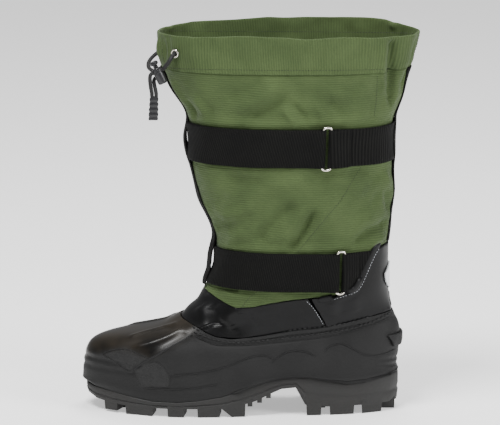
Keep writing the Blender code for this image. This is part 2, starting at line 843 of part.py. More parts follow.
def girth(height):
    """Angles and running lengths round the shaft at a height, from the front centre."""
    angles = [math.radians(step) for step in range(-180, 181, 2)]
    points = [skin_point(angle, level_at(angle, height)) for angle in angles]
    lengths = [0.0]
    for before, after in zip(points, points[1:]):
        lengths.append(lengths[-1] + (after - before).length)
    middle = lengths[len(lengths) // 2]
    return angles, [length - middle for length in lengths]


def look_up(value, keys, results):
    """Linear reading of one rising list against another, carried on past both ends."""
    index = max([i for i, key in enumerate(keys[:-1]) if key <= value], default=0)
    share = (value - keys[index]) / (keys[index + 1] - keys[index])
    return results[index] + (results[index + 1] - results[index]) * share


def smooth_path(points, steps):
    """Points on a smooth curve through hand-picked ones, each a tuple of numbers."""
    path = []
    for index in range(len(points) - 1):
        before = points[max(index - 1, 0)]
        start = points[index]
        end = points[index + 1]
        after = points[min(index + 2, len(points) - 1)]
        for step in range(steps):
            t = step / steps
            path.append(tuple(
                hermite(b, c, (c - a) / 2, (d - b) / 2, t)
                for a, b, c, d in zip(before, start, end, after)
            ))
    path.append(tuple(points[-1]))
    return path


def ribbon(name, path, rows, thickness, place, material):
    """A flat strip. path holds (along, lift, skew), rows the places across it."""
    outer = []
    inner = []
    for index, (along, lift, skew) in enumerate(path):
        before = path[max(index - 1, 0)]
        after = path[min(index + 1, len(path) - 1)]
        run = after[0] - before[0]
        rise = after[1] - before[1]
        size = math.hypot(run, rise)
        across_run = -rise / size * thickness / 2
        across_rise = run / size * thickness / 2
        outer.append([
            place(along + across_run + skew * row, lift + across_rise, row) for row in rows
        ])
        inner.append([
            place(along - across_run + skew * row, lift - across_rise, row) for row in rows
        ])
    columns = len(rows)
    count = len(path)
    points = [point for line in outer for point in line]
    points += [point for line in inner for point in line]
    second = count * columns
    faces = grid_faces(0, count, columns, False)
    faces += grid_faces(second, count, columns, False)
    for i in range(count - 1):
        for column in (0, columns - 1):
            a = i * columns + column
            faces.append((a, a + columns, second + a + columns, second + a))
    for i in (0, count - 1):
        for column in range(columns - 1):
            a = i * columns + column
            faces.append((a, a + 1, second + a + 1, second + a))
    return finish_mesh(name, points, faces, material)


class StrapLine:
    """Places on the shaft along a level strap."""

    def __init__(self, height):
        self.height = height
        self.angles, self.lengths = girth(height)

    def place(self, along, lift, across):
        angle = look_up(along, self.lengths, self.angles)
        height = self.height + across
        return wall_point(angle, level_at(angle, height), lift)

    def along_at_x(self, x):
        """Running length on the outer side where the shaft passes x."""
        for angle, length in zip(self.angles, self.lengths):
            if angle > 0 and skin_point(angle, level_at(angle, self.height)).x >= x:
                return length
        return self.lengths[-1]


Return = namedtuple("Return", "run drop")
# How a strap's end comes down behind its ring: metres back from the bar, share of the drop
STRAP_RETURN = (Return(0.004, 0.10), Return(0.009, 0.52), Return(0.014, 0.81), Return(0.019, 1.00))
# The same for the tab, with the run as a share of its fold
TAB_RETURN = (Return(0.30, 0.19), Return(0.65, 0.77), Return(1.00, 1.00))
# Share of a strap's length that its slanted end takes
SLANT_SHARE = 0.03
# The slant of its end dies out over this many facets
SLANT_FACETS = 4

STRAP_LIFT = -SHAFT_INSET + CLOTH_CLEARANCE + STRAP_THICKNESS / 2
RING_LIFT = STRAP_LIFT + STRAP_THICKNESS / 2 + GAP + RING_WIRE / 2
FOLD_RADIUS = RING_LIFT - STRAP_LIFT
OVERLAP_LIFT = STRAP_LIFT + STRAP_THICKNESS + GAP
FOLD_TOP = RING_LIFT + FOLD_RADIUS
FOLD_DROP = FOLD_TOP - OVERLAP_LIFT
BAR_SPREAD = (RING_WIDTH - RING_WIRE) / 2


def strap_rows():
    half = STRAP_WIDTH / 2
    return (-half, 0.0, half)


def fold_points(bar, direction):
    """Half turn of a strap round a bar, from the shaft outwards."""
    points = []
    for degrees in (-60, -30, 0, 30, 60):
        turn = math.radians(degrees)
        points.append((
            bar + direction * FOLD_RADIUS * math.cos(turn),
            RING_LIFT + FOLD_RADIUS * math.sin(turn),
            0.0,
        ))
    return points


def build_strap(prefix, line, ring_x, start, skew, end, material):
    """The long strap: from the far side round the front, through the ring and back."""
    centre = line.along_at_x(ring_x)
    bar = centre - BAR_SPREAD
    straight = start + (bar - start) * SLANT_SHARE
    path = [(start, STRAP_LIFT, skew), (straight, STRAP_LIFT, skew)]
    count = int((bar - straight) / STRAP_FACET)
    for i in range(1, count + 1):
        slant = skew * max(1 - i / SLANT_FACETS, 0.0)
        path.append((straight + (bar - straight) * i / count, STRAP_LIFT, slant))
    path += fold_points(bar, 1.0)
    path.append((bar, FOLD_TOP, 0.0))
    path += [(bar - step.run, FOLD_TOP - FOLD_DROP * step.drop, 0.0) for step in STRAP_RETURN]
    landing = bar - STRAP_RETURN[-1].run
    count = max(int((landing - end) / STRAP_FACET), 1)
    for i in range(1, count + 1):
        path.append((landing - (landing - end) * i / count, OVERLAP_LIFT, 0.0))
    return ribbon(prefix + "_strap", path, strap_rows(), STRAP_THICKNESS, line.place, material)


def build_tab(prefix, line, ring_x, end, skew, material):
    """The short tab that holds the ring from behind."""
    centre = line.along_at_x(ring_x)
    bar = centre + BAR_SPREAD
    run = end - bar
    count = max(int(run / STRAP_FACET), 2)
    path = [(end, STRAP_LIFT, skew)]
    path += [(end - run * i / count, STRAP_LIFT, skew * (1 - i / count)) for i in range(1, count + 1)]
    path += fold_points(bar, -1.0)
    fold = min(TAB_FOLD_LENGTH, run * TAB_FOLD_SHARE)
    path.append((bar, FOLD_TOP, 0.0))
    path += [(bar + fold * step.run, FOLD_TOP - FOLD_DROP * step.drop, 0.0) for step in TAB_RETURN]
    return ribbon(prefix + "_tab", path, strap_rows(), STRAP_THICKNESS, line.place, material)


def tube(name, points, radius, material, cyclic=False, resolution=2):
    data = bpy.data.curves.new(name, "CURVE")
    data.dimensions = "3D"
    data.bevel_depth = radius
    data.bevel_resolution = resolution
    data.use_fill_caps = not cyclic
    spline = data.splines.new("POLY")
    spline.points.add(len(points) - 1)
    for target, point in zip(spline.points, points):
        target.co = (*point, 1.0)
    spline.use_cyclic_u = cyclic
    data.materials.append(material)
    piece = bpy.data.objects.new(name, data)
    bpy.context.scene.collection.objects.link(piece)
    return piece


def build_ring(prefix, line, ring_x, material):
    """A long wire loop that lies against the strap, bars upright."""
    centre = line.along_at_x(ring_x)
    half = RING_HEIGHT / 2 - RING_WIRE / 2 - RING_ARCH
    points = []
    for end, start in ((1.0, 0), (-1.0, 180)):
        for step in range(5):
            turn = math.radians(start + step * 45)
            along = centre + BAR_SPREAD * math.cos(turn)
            across = end * half + RING_ARCH * math.sin(turn)
            points.append(line.place(along, RING_LIFT, across))
        side = BAR_SPREAD * math.cos(math.radians(start + 180))
        points.append(line.place(centre + side, RING_LIFT, 0.0))
    return tube(prefix + "_ring", points, RING_WIRE / 2, material, cyclic=True)


def webbing_place(base):
    """Places on an upright strip at the front (base 0) or back (base pi) of the shaft."""

    def place(along, lift, across):
        level = level_at(base, along)
        reach = 0.0
        turn = 0.0
        while reach < abs(across) - 1e-5:
            turn += 0.01
            reach = abs(skin_point(base + turn, level).y)
        angle = base + math.copysign(turn, across)
        return wall_point(angle, level_at(angle, along), lift)

    return place


def webbing_rows(width):
    half = width / 2
    return (-half, -half / 2, 0.0, half / 2, half)


WEB_LIFT = -SHAFT_INSET + CLOTH_CLEARANCE + WEBBING_THICKNESS / 2
WEB_OVER = STRAP_LIFT + STRAP_THICKNESS / 2 + GAP * 2 + WEBBING_THICKNESS / 2


Loop = namedtuple("Loop", "across rise")
# The front webbing's loose loops: places up from a strap's middle as shares of half its
# width, rises as shares of LOOP_RISE
UPPER_LOOP = (Loop(0.50, 0.82), Loop(0.00, 1.00), Loop(-0.50, 0.82))
LOWER_LOOP = (Loop(1.10, 0.53), Loop(0.40, 0.94), Loop(-0.30, 1.00), Loop(-0.90, 0.71))
# The webbing lies flat again this far above or below a strap's edge
SHORT_RAMP = 0.006
LONG_RAMP = 0.010
LOOSE_RAMP = 0.014


def flat_run(start, end, count):
    """Even places of a webbing strip that lies on the cloth between two heights."""
    step = (end - start) / count
    return [(start + step * i, WEB_LIFT, 0.0) for i in range(count + 1)]


def loop_run(middle, loop):
    half = STRAP_WIDTH / 2
    return [(middle + half * place.across, LOOP_RISE * place.rise, 0.0) for place in loop]


def webbing_top():
    return BOOT_HEIGHT - HEM_DEPTH - GAP * 4


def build_front_webbing(material):
    """Strip down the front that loops freely over both straps."""
    upper_top = UPPER_STRAP_HEIGHT + STRAP_WIDTH / 2
    upper_foot = UPPER_STRAP_HEIGHT - STRAP_WIDTH / 2
    lower_top = LOWER_STRAP_HEIGHT + STRAP_WIDTH / 2
    lower_foot = LOWER_STRAP_HEIGHT - STRAP_WIDTH / 2
    points = flat_run(webbing_top(), upper_top + LONG_RAMP, 2)
    points.append((upper_top + STRAP_JOIN_GAP, WEB_OVER, 0.0))
    points += loop_run(UPPER_STRAP_HEIGHT, UPPER_LOOP)
    points.append((upper_foot - STRAP_JOIN_GAP, WEB_OVER, 0.0))
    points += flat_run(upper_foot - LONG_RAMP, lower_top + LOOSE_RAMP, 3)
    points += loop_run(LOWER_STRAP_HEIGHT, LOWER_LOOP)
    points.append((lower_foot - STRAP_JOIN_GAP * 3, WEB_OVER, 0.0))
    path = smooth_path(points, 2)
    rows = webbing_rows(FRONT_WEBBING_WIDTH)
    place = webbing_place(0.0)
    return ribbon("front_webbing", path, rows, WEBBING_THICKNESS, place, material)


def build_back_webbing(material):
    """Strip down the back, sewn over the upper strap."""
    upper_top = UPPER_STRAP_HEIGHT + STRAP_WIDTH / 2
    upper_foot = UPPER_STRAP_HEIGHT - STRAP_WIDTH / 2
    counter = LEATHER_EDGE[0].height * INSTEP_HEIGHT
    path = flat_run(webbing_top(), upper_top + SHORT_RAMP, 2)
    for height in (upper_top - STRAP_JOIN_GAP, UPPER_STRAP_HEIGHT, upper_foot + STRAP_JOIN_GAP):
        path.append((height, WEB_OVER, 0.0))
    path += flat_run(upper_foot - SHORT_RAMP, counter + STRAP_SEAM_GAP, 3)
    rows = webbing_rows(BACK_WEBBING_WIDTH)
    place = webbing_place(math.pi)
    return ribbon("back_webbing", path, rows, WEBBING_THICKNESS, place, material)


def hem_angle(x, height, side):
    """Angle of the hem's surface at x on one side."""
    low = 0.0
    high = math.pi / 2
    for _ in range(30):
        middle = (low + high) / 2
        point = skin_point(side * middle, level_at(side * middle, height))
        if point.x < x:
            low = middle
        else:
            high = middle
    return side * (low + high) / 2


def turned(name, profile, sides, matrix, material):
    """A closed body turned about the local Z axis from (radius, height) pairs."""
    points = []
    faces = []
    for radius, height in profile:
        for i in range(sides):
            turn = 2 * math.pi * i / sides
            local = Vector((radius * math.cos(turn), radius * math.sin(turn), height))
            points.append(matrix @ local)
    faces += grid_faces(0, len(profile), sides, True)
    if profile[0] == profile[-1]:
        points = points[:-sides]
        last = (len(profile) - 2) * sides
        faces = grid_faces(0, len(profile) - 1, sides, True)
        for i in range(sides):
            after = (i + 1) % sides
            faces.append((last + i, last + after, after, i))
    else:
        faces.append(tuple(range(sides)))
        faces.append(tuple((len(profile) - 1) * sides + i for i in range(sides)))
    return finish_mesh(name, points, faces, material)


def facing(normal, place):
    turn = normal.to_track_quat("Z", "Y").to_matrix().to_4x4()
    return Matrix.Translation(place) @ turn


def eyelet_frame(side):
    angle = hem_angle(EYELET_X, EYELET_HEIGHT, side)
    level = level_at(angle, EYELET_HEIGHT)
    normal = skin_normal(angle, level)
    return skin_point(angle, level), normal


def build_eyelet(name, side, material):
    place, normal = eyelet_frame(side)
    seat = place + normal * (HEM_OUTSET + GAP * 2)
    outer = EYELET_DIAMETER / 2
    hole = EYELET_HOLE / 2
    profile = [
        (hole, 0.0), (outer, 0.0), (outer, EYELET_RISE / 2), (outer - EYELET_LIP, EYELET_RISE),
        (hole + EYELET_LIP, EYELET_RISE), (hole, EYELET_RISE / 2), (hole, 0.0),
    ]
    return turned(name, profile, 12, facing(normal, seat), material)


# Places on the drawcord, chosen by hand: the barrel lock hangs at the front of the collar
LOCK_TOP = Vector((-0.0935, -0.0370, 0.3550))
LOCK_FOOT = Vector((-0.0860, -0.0385, 0.3395))
END_TOP = Vector((-0.0955, -0.0400, 0.3270))
OUTER_CORD = (
    (-0.0795, -0.0468, 0.3645), (-0.0820, -0.0452, 0.3605),
)
INNER_CORD = (
    (-0.0830, 0.0440, 0.3635), (-0.0920, 0.0340, 0.3590), (-0.0995, 0.0170, 0.3550),
    (-0.1020, 0.0000, 0.3525), (-0.1005, -0.0150, 0.3505), (-0.0950, -0.0250, 0.3488),
)
OUTER_TAIL = (
    (-0.0993, -0.0389, 0.3475), (-0.0996, -0.0395, 0.3430), (-0.0988, -0.0399, 0.3360),
    (-0.0977, -0.0400, 0.3300),
)
INNER_TAIL = (
    (-0.0957, -0.0342, 0.3420), (-0.0953, -0.0355, 0.3380), (-0.0941, -0.0380, 0.3330),
    (-0.0934, -0.0400, 0.3295),
)
# The cords stand straight out of an eyelet, the lock or the crimped end for this far
CORD_STUB = 0.0020
# Ways out of the lock's barrel, and their places up it as shares of its length
Port = namedtuple("Port", "way share")
OUTER_PORT = Port(Vector((0.90, -0.35, 0.43)), 0.80)
INNER_PORT = Port(Vector((0.10, 1.00, 0.00)), 0.50)
OUTER_TAIL_PORT = Port(Vector((-0.95, -0.15, 0.00)), 0.82)
INNER_TAIL_PORT = Port(Vector((-0.80, 0.55, 0.00)), 0.48)


def lock_stub(port):
    """Where a cord meets the lock's side, and the end of its straight stub."""
    axis = (LOCK_TOP - LOCK_FOOT).normalized()
    way = (port.way - axis * port.way.dot(axis)).normalized()
    seat = LOCK_FOOT + axis * LOCK_LENGTH * port.share + way * (LOCK_DIAMETER / 2 + CORD_SEAT)
    return [seat, seat + way * CORD_STUB]


def eyelet_stub(side):
    """Where a cord leaves the hem inside its eyelet, and the end of its straight stub."""
    place, normal = eyelet_frame(side)
    seat = place + normal * (HEM_OUTSET + CORD_SEAT)
    return [seat, seat + normal * CORD_STUB]


def end_stub(x):
    """Where a tail meets the crimped end's top, and the end of its straight stub."""
    seat = Vector((x, END_TOP.y, END_TOP.z - GAP + CORD_SEAT))
    return [seat, seat + Vector((0.0, 0.0, CORD_STUB))]


def build_cord(name, start, middle, end, material):
    """A cord from one straight stub to another through points chosen by hand."""
    points = start + [Vector(point) for point in middle] + list(reversed(end))
    inner = [Vector(point) for point in smooth_path([tuple(point) for point in points[1:-1]], 2)]
    return tube(name, [points[0]] + inner + [points[-1]], CORD_DIAMETER / 2, material)


def build_lock(material):
    axis = LOCK_TOP - LOCK_FOOT
    radius = LOCK_DIAMETER / 2
    neck = LOCK_NECK_DIAMETER / 2
    button = LOCK_BUTTON_DIAMETER / 2
    length = LOCK_LENGTH
    neck_top = length + LOCK_NECK_LENGTH
    top = neck_top + LOCK_BUTTON_LENGTH
    profile = [
        (radius - LOCK_EDGE, 0.0), (radius, LOCK_EDGE), (radius, length - LOCK_EDGE),
        (radius - LOCK_EDGE, length), (neck, length), (neck, neck_top),
        (button, neck_top + LOCK_EDGE / 2), (button, top - LOCK_EDGE), (button - LOCK_EDGE, top),
    ]
    return turned("cord_lock", profile, 14, facing(axis.normalized(), LOCK_FOOT), material)


def build_cord_end(material):
    width, depth, height = CORD_END_SIZE
    mesh = bpy.data.meshes.new("cord_end")
    work = bmesh.new()
    bmesh.ops.create_cube(work, size=1.0)
    for vertex in work.verts:
        vertex.co.x *= width
        vertex.co.y *= depth
        vertex.co.z *= height
        if vertex.co.z > 0:
            vertex.co.x *= CORD_END_TAPER
    bmesh.ops.bevel(
        work, geom=list(work.edges), offset=CORD_END_EDGE, segments=1, profile=0.5, affect="EDGES"
    )
    work.to_mesh(mesh)
    work.free()
    mesh.materials.append(material)
    piece = bpy.data.objects.new("cord_end", mesh)
    bpy.context.scene.collection.objects.link(piece)
    piece.location = END_TOP - Vector((0.0, 0.0, height / 2 + GAP))
    return piece


Shield = namedtuple("Shield", "across top bottom")
# The badge's outline: half widths and heights as shares of its size
SHIELD = (
    Shield(-1.00, 0.68, 0.60), Shield(-0.86, 0.76, 0.36), Shield(-0.62, 0.86, 0.18),
    Shield(-0.32, 0.95, 0.05), Shield(0.00, 1.00, 0.00), Shield(0.32, 0.95, 0.05),
    Shield(0.62, 0.86, 0.18), Shield(0.86, 0.76, 0.36), Shield(1.00, 0.68, 0.60),
)


def build_badge(material):
    """A plain shield plate on the heel counter."""
    place = webbing_place(math.pi)
    seat = HEM_OUTSET + BADGE_CLEARANCE
    lifts = (seat, seat + BADGE_THICKNESS)
    points = []
    for lift in lifts:
        for row in SHIELD:
            for share in (0.0, 0.5, 1.0):
                height = BADGE_TOP - BADGE_HEIGHT
                height += BADGE_HEIGHT * (row.bottom + (row.top - row.bottom) * share)
                points.append(place(height, lift, row.across * BADGE_WIDTH / 2))
    columns = 3
    count = len(SHIELD)
    second = count * columns
    faces = grid_faces(0, count, columns, False) + grid_faces(second, count, columns, False)
    for i in range(count - 1):
        for column in (0, columns - 1):
            a = i * columns + column
            faces.append((a, a + columns, second + a + columns, second + a))
    for i in (0, count - 1):
        for column in range(columns - 1):
            a = i * columns + column
            faces.append((a, a + 1, second + a + 1, second + a))
    return finish_mesh("reflector_badge", points, faces, material)


def counter_along(line, side):
    """Running length along a strap where the leather counter's edge crosses it."""
    best = None
    for angle, length in zip(line.angles, line.lengths):
        if side * angle <= math.pi / 2:
            continue
        point = skin_point(angle, level_at(angle, line.height))
        edge = curve_value(LEATHER_EDGE, station_share(point.x)) * INSTEP_HEIGHT
        if edge < line.height and (best is None or side * length > side * best):
            best = length
    return best


def build_boot():
    clear_scene()
    rubber = principled("moulded_rubber", (0.050, 0.050, 0.050), 0.62)
    tread = principled("tread_rubber", (0.042, 0.042, 0.042), 0.72)
    leather = principled("faux_leather", (0.018, 0.018, 0.020), 0.32)
    nylon = principled("green_nylon", (0.100, 0.155, 0.062), 0.80)
    webbing = principled("black_webbing", (0.012, 0.012, 0.012), 0.85)
    cord = principled("black_cord", (0.012, 0.012, 0.012), 0.80)
    felt = principled("black_felt", (0.015, 0.015, 0.015), 0.95)
    steel = principled("nickel_wire", (0.62, 0.60, 0.56), 0.25, 1.0)
    plastic = principled("black_plastic", (0.020, 0.020, 0.020), 0.45)
    silver = principled("silver_film", (0.60, 0.61, 0.61), 0.40)

    near_side = [angle for angle in ANGLES if 0 < angle < math.pi]
    middle = (COUNTER_TOP_X + COUNTER_FOOT_X) / 2
    seam = min(near_side, key=lambda angle: abs(skin_point(angle, leather_low(angle)).x - middle))
    build_outsole(tread)
    build_shell(rubber)
    build_insole(felt)
    build_leather(leather, seam)
    build_counter(leather, seam)
    build_shaft(nylon)
    build_hem(nylon)
    build_inner_boot(felt)

    upper = StrapLine(UPPER_STRAP_HEIGHT)
    lower = StrapLine(LOWER_STRAP_HEIGHT)
    front_edge = FRONT_WEBBING_WIDTH / 2 + STRAP_JOIN_GAP
    back = upper.lengths[-1] - STRAP_JOIN_GAP
    build_strap("upper", upper, UPPER_RING_X, -back, 0.0, front_edge, webbing)
    build_tab("upper", upper, UPPER_RING_X, back, 0.0, webbing)
    build_ring("upper", upper, UPPER_RING_X, steel)
    near_edge = counter_along(lower, 1.0) - STRAP_SEAM_GAP
    far_edge = counter_along(lower, -1.0) + STRAP_SEAM_GAP
    build_strap("lower", lower, LOWER_RING_X, far_edge, -STRAP_LEAN, front_edge, webbing)
    build_tab("lower", lower, LOWER_RING_X, near_edge, STRAP_LEAN, webbing)
    build_ring("lower", lower, LOWER_RING_X, steel)

    build_front_webbing(webbing)
    build_back_webbing(webbing)
    build_eyelet("eyelet_outer", 1.0, steel)
    build_eyelet("eyelet_inner", -1.0, steel)
    outer_lock = lock_stub(OUTER_PORT)
    inner_lock = lock_stub(INNER_PORT)
    build_cord("drawcord_outer", eyelet_stub(1.0), OUTER_CORD, outer_lock, cord)
    build_cord("drawcord_inner", eyelet_stub(-1.0), INNER_CORD, inner_lock, cord)
    outer_end = end_stub(OUTER_TAIL[-1][0])
    inner_end = end_stub(INNER_TAIL[-1][0])
    build_cord("drawcord_tail_outer", lock_stub(OUTER_TAIL_PORT), OUTER_TAIL, outer_end, cord)
    build_cord("drawcord_tail_inner", lock_stub(INNER_TAIL_PORT), INNER_TAIL, inner_end, cord)
    build_lock(plastic)
    build_cord_end(plastic)
    build_badge(silver)


build_boot()
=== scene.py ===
"""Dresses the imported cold-weather boot: creased nylon, shiny leather and moulded rubber.

Sizes are in metres on the frame's own axes: the toe points to -X and the outer side to -Y.
Lines that follow the photograph are pairs of its pixels, cast from its viewpoint onto the
piece that carries them. The inner side takes the same lines through the mirrored view.
"""

import logging
import math
from dataclasses import dataclass
from enum import Enum

import bpy
import numpy as np
from mathutils import Matrix, Vector, noise
from mathutils.bvhtree import BVHTree


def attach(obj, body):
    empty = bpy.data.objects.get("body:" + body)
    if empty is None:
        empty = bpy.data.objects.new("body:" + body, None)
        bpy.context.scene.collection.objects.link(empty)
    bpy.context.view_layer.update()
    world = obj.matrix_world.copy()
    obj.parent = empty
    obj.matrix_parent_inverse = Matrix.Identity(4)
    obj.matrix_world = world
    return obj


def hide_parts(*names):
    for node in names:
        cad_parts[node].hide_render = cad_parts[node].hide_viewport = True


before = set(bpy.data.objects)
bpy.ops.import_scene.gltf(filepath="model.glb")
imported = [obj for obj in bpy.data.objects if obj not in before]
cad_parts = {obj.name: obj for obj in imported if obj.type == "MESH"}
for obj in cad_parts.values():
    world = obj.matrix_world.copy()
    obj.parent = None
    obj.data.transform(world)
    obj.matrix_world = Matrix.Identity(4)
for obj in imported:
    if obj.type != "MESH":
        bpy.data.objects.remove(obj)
LOG = logging.getLogger("boot")

Place = tuple[float, float]
Point = tuple[float, float, float]
Places = tuple[Place, ...]


class Aim(Enum):
    """The side from which a line is cast onto a piece."""

    OUTER = "outer"
    INNER = "inner"
    FRONT = "front"
    BACK = "back"


class RibRun(Enum):
    """The way a fabric's ribs run."""

    ROUND = "round the leg"
    UP = "up the leg"


@dataclass(frozen=True)
class PhotoView:
    """The photograph's camera, fitted to the boot's outline.

    Attributes:
        eye: the camera's place.
        target: the point that it looks at.
        scale: pixels for each metre at the target.
        centre: the pixel where the target lies.
        width: the frame's width in pixels.
    """

    eye: Point = (0.0, -4.5, 1.16)
    target: Point = (0.0, 0.0, 0.20)
    scale: float = 990.0
    centre: Place = (324.25, 211.7)
    width: float = 500.0

    def axes(self) -> tuple[Vector, Vector, Vector]:
        """Returns the view's right, up and forward directions."""
        forward = (Vector(self.target) - Vector(self.eye)).normalized()
        right = forward.cross(Vector((0.0, 0.0, 1.0))).normalized()
        return right, right.cross(forward), forward

    def focal(self) -> float:
        """Returns the focal length in pixels."""
        return self.scale * (Vector(self.target) - Vector(self.eye)).length

    def ray(self, place: Place) -> tuple[Vector, Vector]:
        """Finds the ray through a pixel.

        Args:
            place: the pixel, across and down.

        Returns:
            The ray's start and its direction.
        """
        right, up, forward = self.axes()
        across = (place[0] - self.centre[0]) / self.focal()
        down = (place[1] - self.centre[1]) / self.focal()
        return Vector(self.eye), (forward + right * across - up * down).normalized()

    def pixels(self, points: np.ndarray) -> np.ndarray:
        """Projects points, mirrored to the outer side, to pixels.

        Args:
            points: coordinates, one row each.

        Returns:
            Pixels, one row for each point.
        """
        right, up, forward = (np.array(axis) for axis in self.axes())
        mirrored = points.copy()
        mirrored[:, 1] = -np.abs(mirrored[:, 1])
        offset = mirrored - np.array(self.eye)
        depth = offset @ forward
        across = self.centre[0] + offset @ right / depth * self.focal()
        down = self.centre[1] - offset @ up / depth * self.focal()
        return np.column_stack((across, down))


VIEW = PhotoView()


def smooth_places(places: Places, spacing: float) -> list[Place]:
    """Runs a smooth curve through places.

    Args:
        places: the places, in order.
        spacing: the distance between the points of the result.

    Returns:
        Points on the curve, both ends included.
    """
    rows = [np.array(place, dtype=float) for place in places]
    rows = [2 * rows[0] - rows[1]] + rows + [2 * rows[-1] - rows[-2]]
    result = []
    for before, start, end, after in zip(rows, rows[1:], rows[2:], rows[3:]):
        count = max(int(np.linalg.norm(end - start) / spacing), 1)
        for step in range(count):
            t = step / count
            result.append(tuple(
                0.5 * (2 * start + (end - before) * t
                       + (2 * before - 5 * start + 4 * end - after) * t * t
                       + (3 * start - before - 3 * end + after) * t ** 3)
            ))
    result.append(tuple(rows[-2]))
    return result


class Surface:
    """A piece's faces as they stood, for casting lines onto."""

    def __init__(self, *nodes: str) -> None:
        """Gathers the faces of CAD nodes.

        Args:
            nodes: the nodes' names.
        """
        corners = []
        faces = []
        for name in nodes:
            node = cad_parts[name]
            start = len(corners)
            corners += [node.matrix_world @ vertex.co for vertex in node.data.vertices]
            faces += [[start + i for i in face.vertices] for face in node.data.polygons]
        self.tree = BVHTree.FromPolygons(corners, faces)

    def cast(self, place: Place, aim: Aim) -> tuple[Vector, Vector] | None:
        """Casts one place onto the surface.

        Args:
            place: a pixel, or for the front and the back a (y, z) pair in metres.
            aim: the side that it is cast from.

        Returns:
            The point and the outward normal there, or None where it misses.
        """
        if aim in (Aim.OUTER, Aim.INNER):
            start, way = VIEW.ray(place)
            if aim is Aim.INNER:
                start = Vector((start.x, -start.y, start.z))
                way = Vector((way.x, -way.y, way.z))
        else:
            side = -1.0 if aim is Aim.FRONT else 1.0
            start = Vector((side, place[0], place[1]))
            way = Vector((-side, 0.0, 0.0))
        point, normal, _, _ = self.tree.ray_cast(start, way)
        if point is None:
            return None
        if normal.dot(way) > 0:
            normal = -normal
        return point, normal

    def trace(self, places: Places, aim: Aim, spacing: float) -> tuple[np.ndarray, np.ndarray]:
        """Casts a smooth line onto the surface.

        Args:
            places: the line's places.
            aim: the side that it is cast from.
            spacing: the distance between samples, in the places' own units.

        Returns:
            The points and their normals, one row each.
        """
        hits = [self.cast(place, aim) for place in smooth_places(places, spacing)]
        hits = [hit for hit in hits if hit is not None]
        points = np.array([hit[0] for hit in hits]).reshape(-1, 3)
        normals = np.array([hit[1] for hit in hits]).reshape(-1, 3)
        for _ in range(2):
            if len(normals) > 2:
                normals[1:-1] = (normals[:-2] + normals[1:-1] * 2 + normals[2:]) / 4
                points[1:-1] = (points[:-2] + points[1:-1] * 2 + points[2:]) / 4
        return points, normals


@dataclass(frozen=True)
class Relief:
    """A soft ridge, or with a negative height a trough, along a line.

    Attributes:
        places: the line, as Surface.cast reads it.
        height: how far its middle stands out.
        width: the distance at which it has fallen to about a third.
        aims: the sides that it is cast from.
        fade: the length over which its ends die away.
    """

    places: Places
    height: float
    width: float
    aims: tuple[Aim, ...] = (Aim.OUTER,)
    fade: float = 0.014


def coordinates(piece: bpy.types.Object) -> np.ndarray:
    """Reads a mesh's corners, one row each."""
    flat = np.empty(len(piece.data.vertices) * 3)
    piece.data.vertices.foreach_get("co", flat)
    return flat.reshape(-1, 3)


def place_corners(piece: bpy.types.Object, rows: np.ndarray) -> None:
    """Writes a mesh's corners, one row each."""
    piece.data.vertices.foreach_set("co", rows.ravel())
    piece.data.update()


def press_reliefs(piece: bpy.types.Object, surface: Surface, reliefs: tuple[Relief, ...]) -> None:
    """Moves a piece's corners by ridges and troughs.

    Args:
        piece: the mesh to shape.
        surface: what the lines are cast onto.
        reliefs: the ridges and troughs.
    """
    rows = coordinates(piece)
    moved = np.zeros_like(rows)
    for relief in reliefs:
        for aim in relief.aims:
            spacing = 1.5 if aim in (Aim.OUTER, Aim.INNER) else 0.0015
            points, normals = surface.trace(relief.places, aim, spacing)
            if len(points) < 2:
                continue
            steps = np.linalg.norm(np.diff(points, axis=0), axis=1)
            run = np.concatenate(([0.0], np.cumsum(steps)))
            ends = np.minimum(run, run[-1] - run) / max(relief.fade, 1e-6)
            weight = np.clip(ends, 0.0, 1.0)
            weight = weight * weight * (3 - 2 * weight)
            reach = relief.width * 2.4
            inside = np.all(
                (rows > points.min(axis=0) - reach) & (rows < points.max(axis=0) + reach), axis=1
            )
            chosen = np.nonzero(inside)[0]
            for part in np.array_split(chosen, max(len(chosen) // 4000, 1)):
                gap = np.linalg.norm(rows[part][:, None, :] - points[None, :, :], axis=2)
                near = gap.argmin(axis=1)
                profile = np.exp(-((gap.min(axis=1) / relief.width) ** 2))
                moved[part] += normals[near] * (relief.height * profile * weight[near])[:, None]
    place_corners(piece, rows + moved)


def ruffle(piece: bpy.types.Object, amount: float, grain: float, seed: float) -> None:
    """Gives cloth its slight unevenness, the same for pieces that lie on each other.

    Args:
        piece: the mesh to shape.
        amount: how far it may move either way.
        grain: the size of one hollow.
        seed: where in the noise it starts.
    """
    rows = coordinates(piece)
    start = Vector((seed, seed * 0.7, seed * 1.3))
    for row in rows:
        outward = Vector((row[0] - 0.04, row[1] * 1.6, 0.0)).normalized()
        lift = noise.noise(Vector(row) / grain + start) * amount
        row += np.array(outward) * lift
    place_corners(piece, rows)


def select_only(piece: bpy.types.Object) -> None:
    """Selects one object and makes it active."""
    bpy.ops.object.select_all(action="DESELECT")
    piece.select_set(True)
    bpy.context.view_layer.objects.active = piece


def subdivide(piece: bpy.types.Object, levels: int) -> None:
    """Subdivides a piece as a smooth surface and applies it."""
    select_only(piece)
    modifier = piece.modifiers.new("rounding", "SUBSURF")
    modifier.levels = levels
    modifier.render_levels = levels
    bpy.ops.object.modifier_apply(modifier=modifier.name)


def soften(piece: bpy.types.Object, angle: float = 35.0) -> None:
    """Shades a piece smooth apart from edges sharper than an angle in degrees."""
    select_only(piece)
    bpy.ops.object.shade_smooth_by_angle(angle=math.radians(angle))


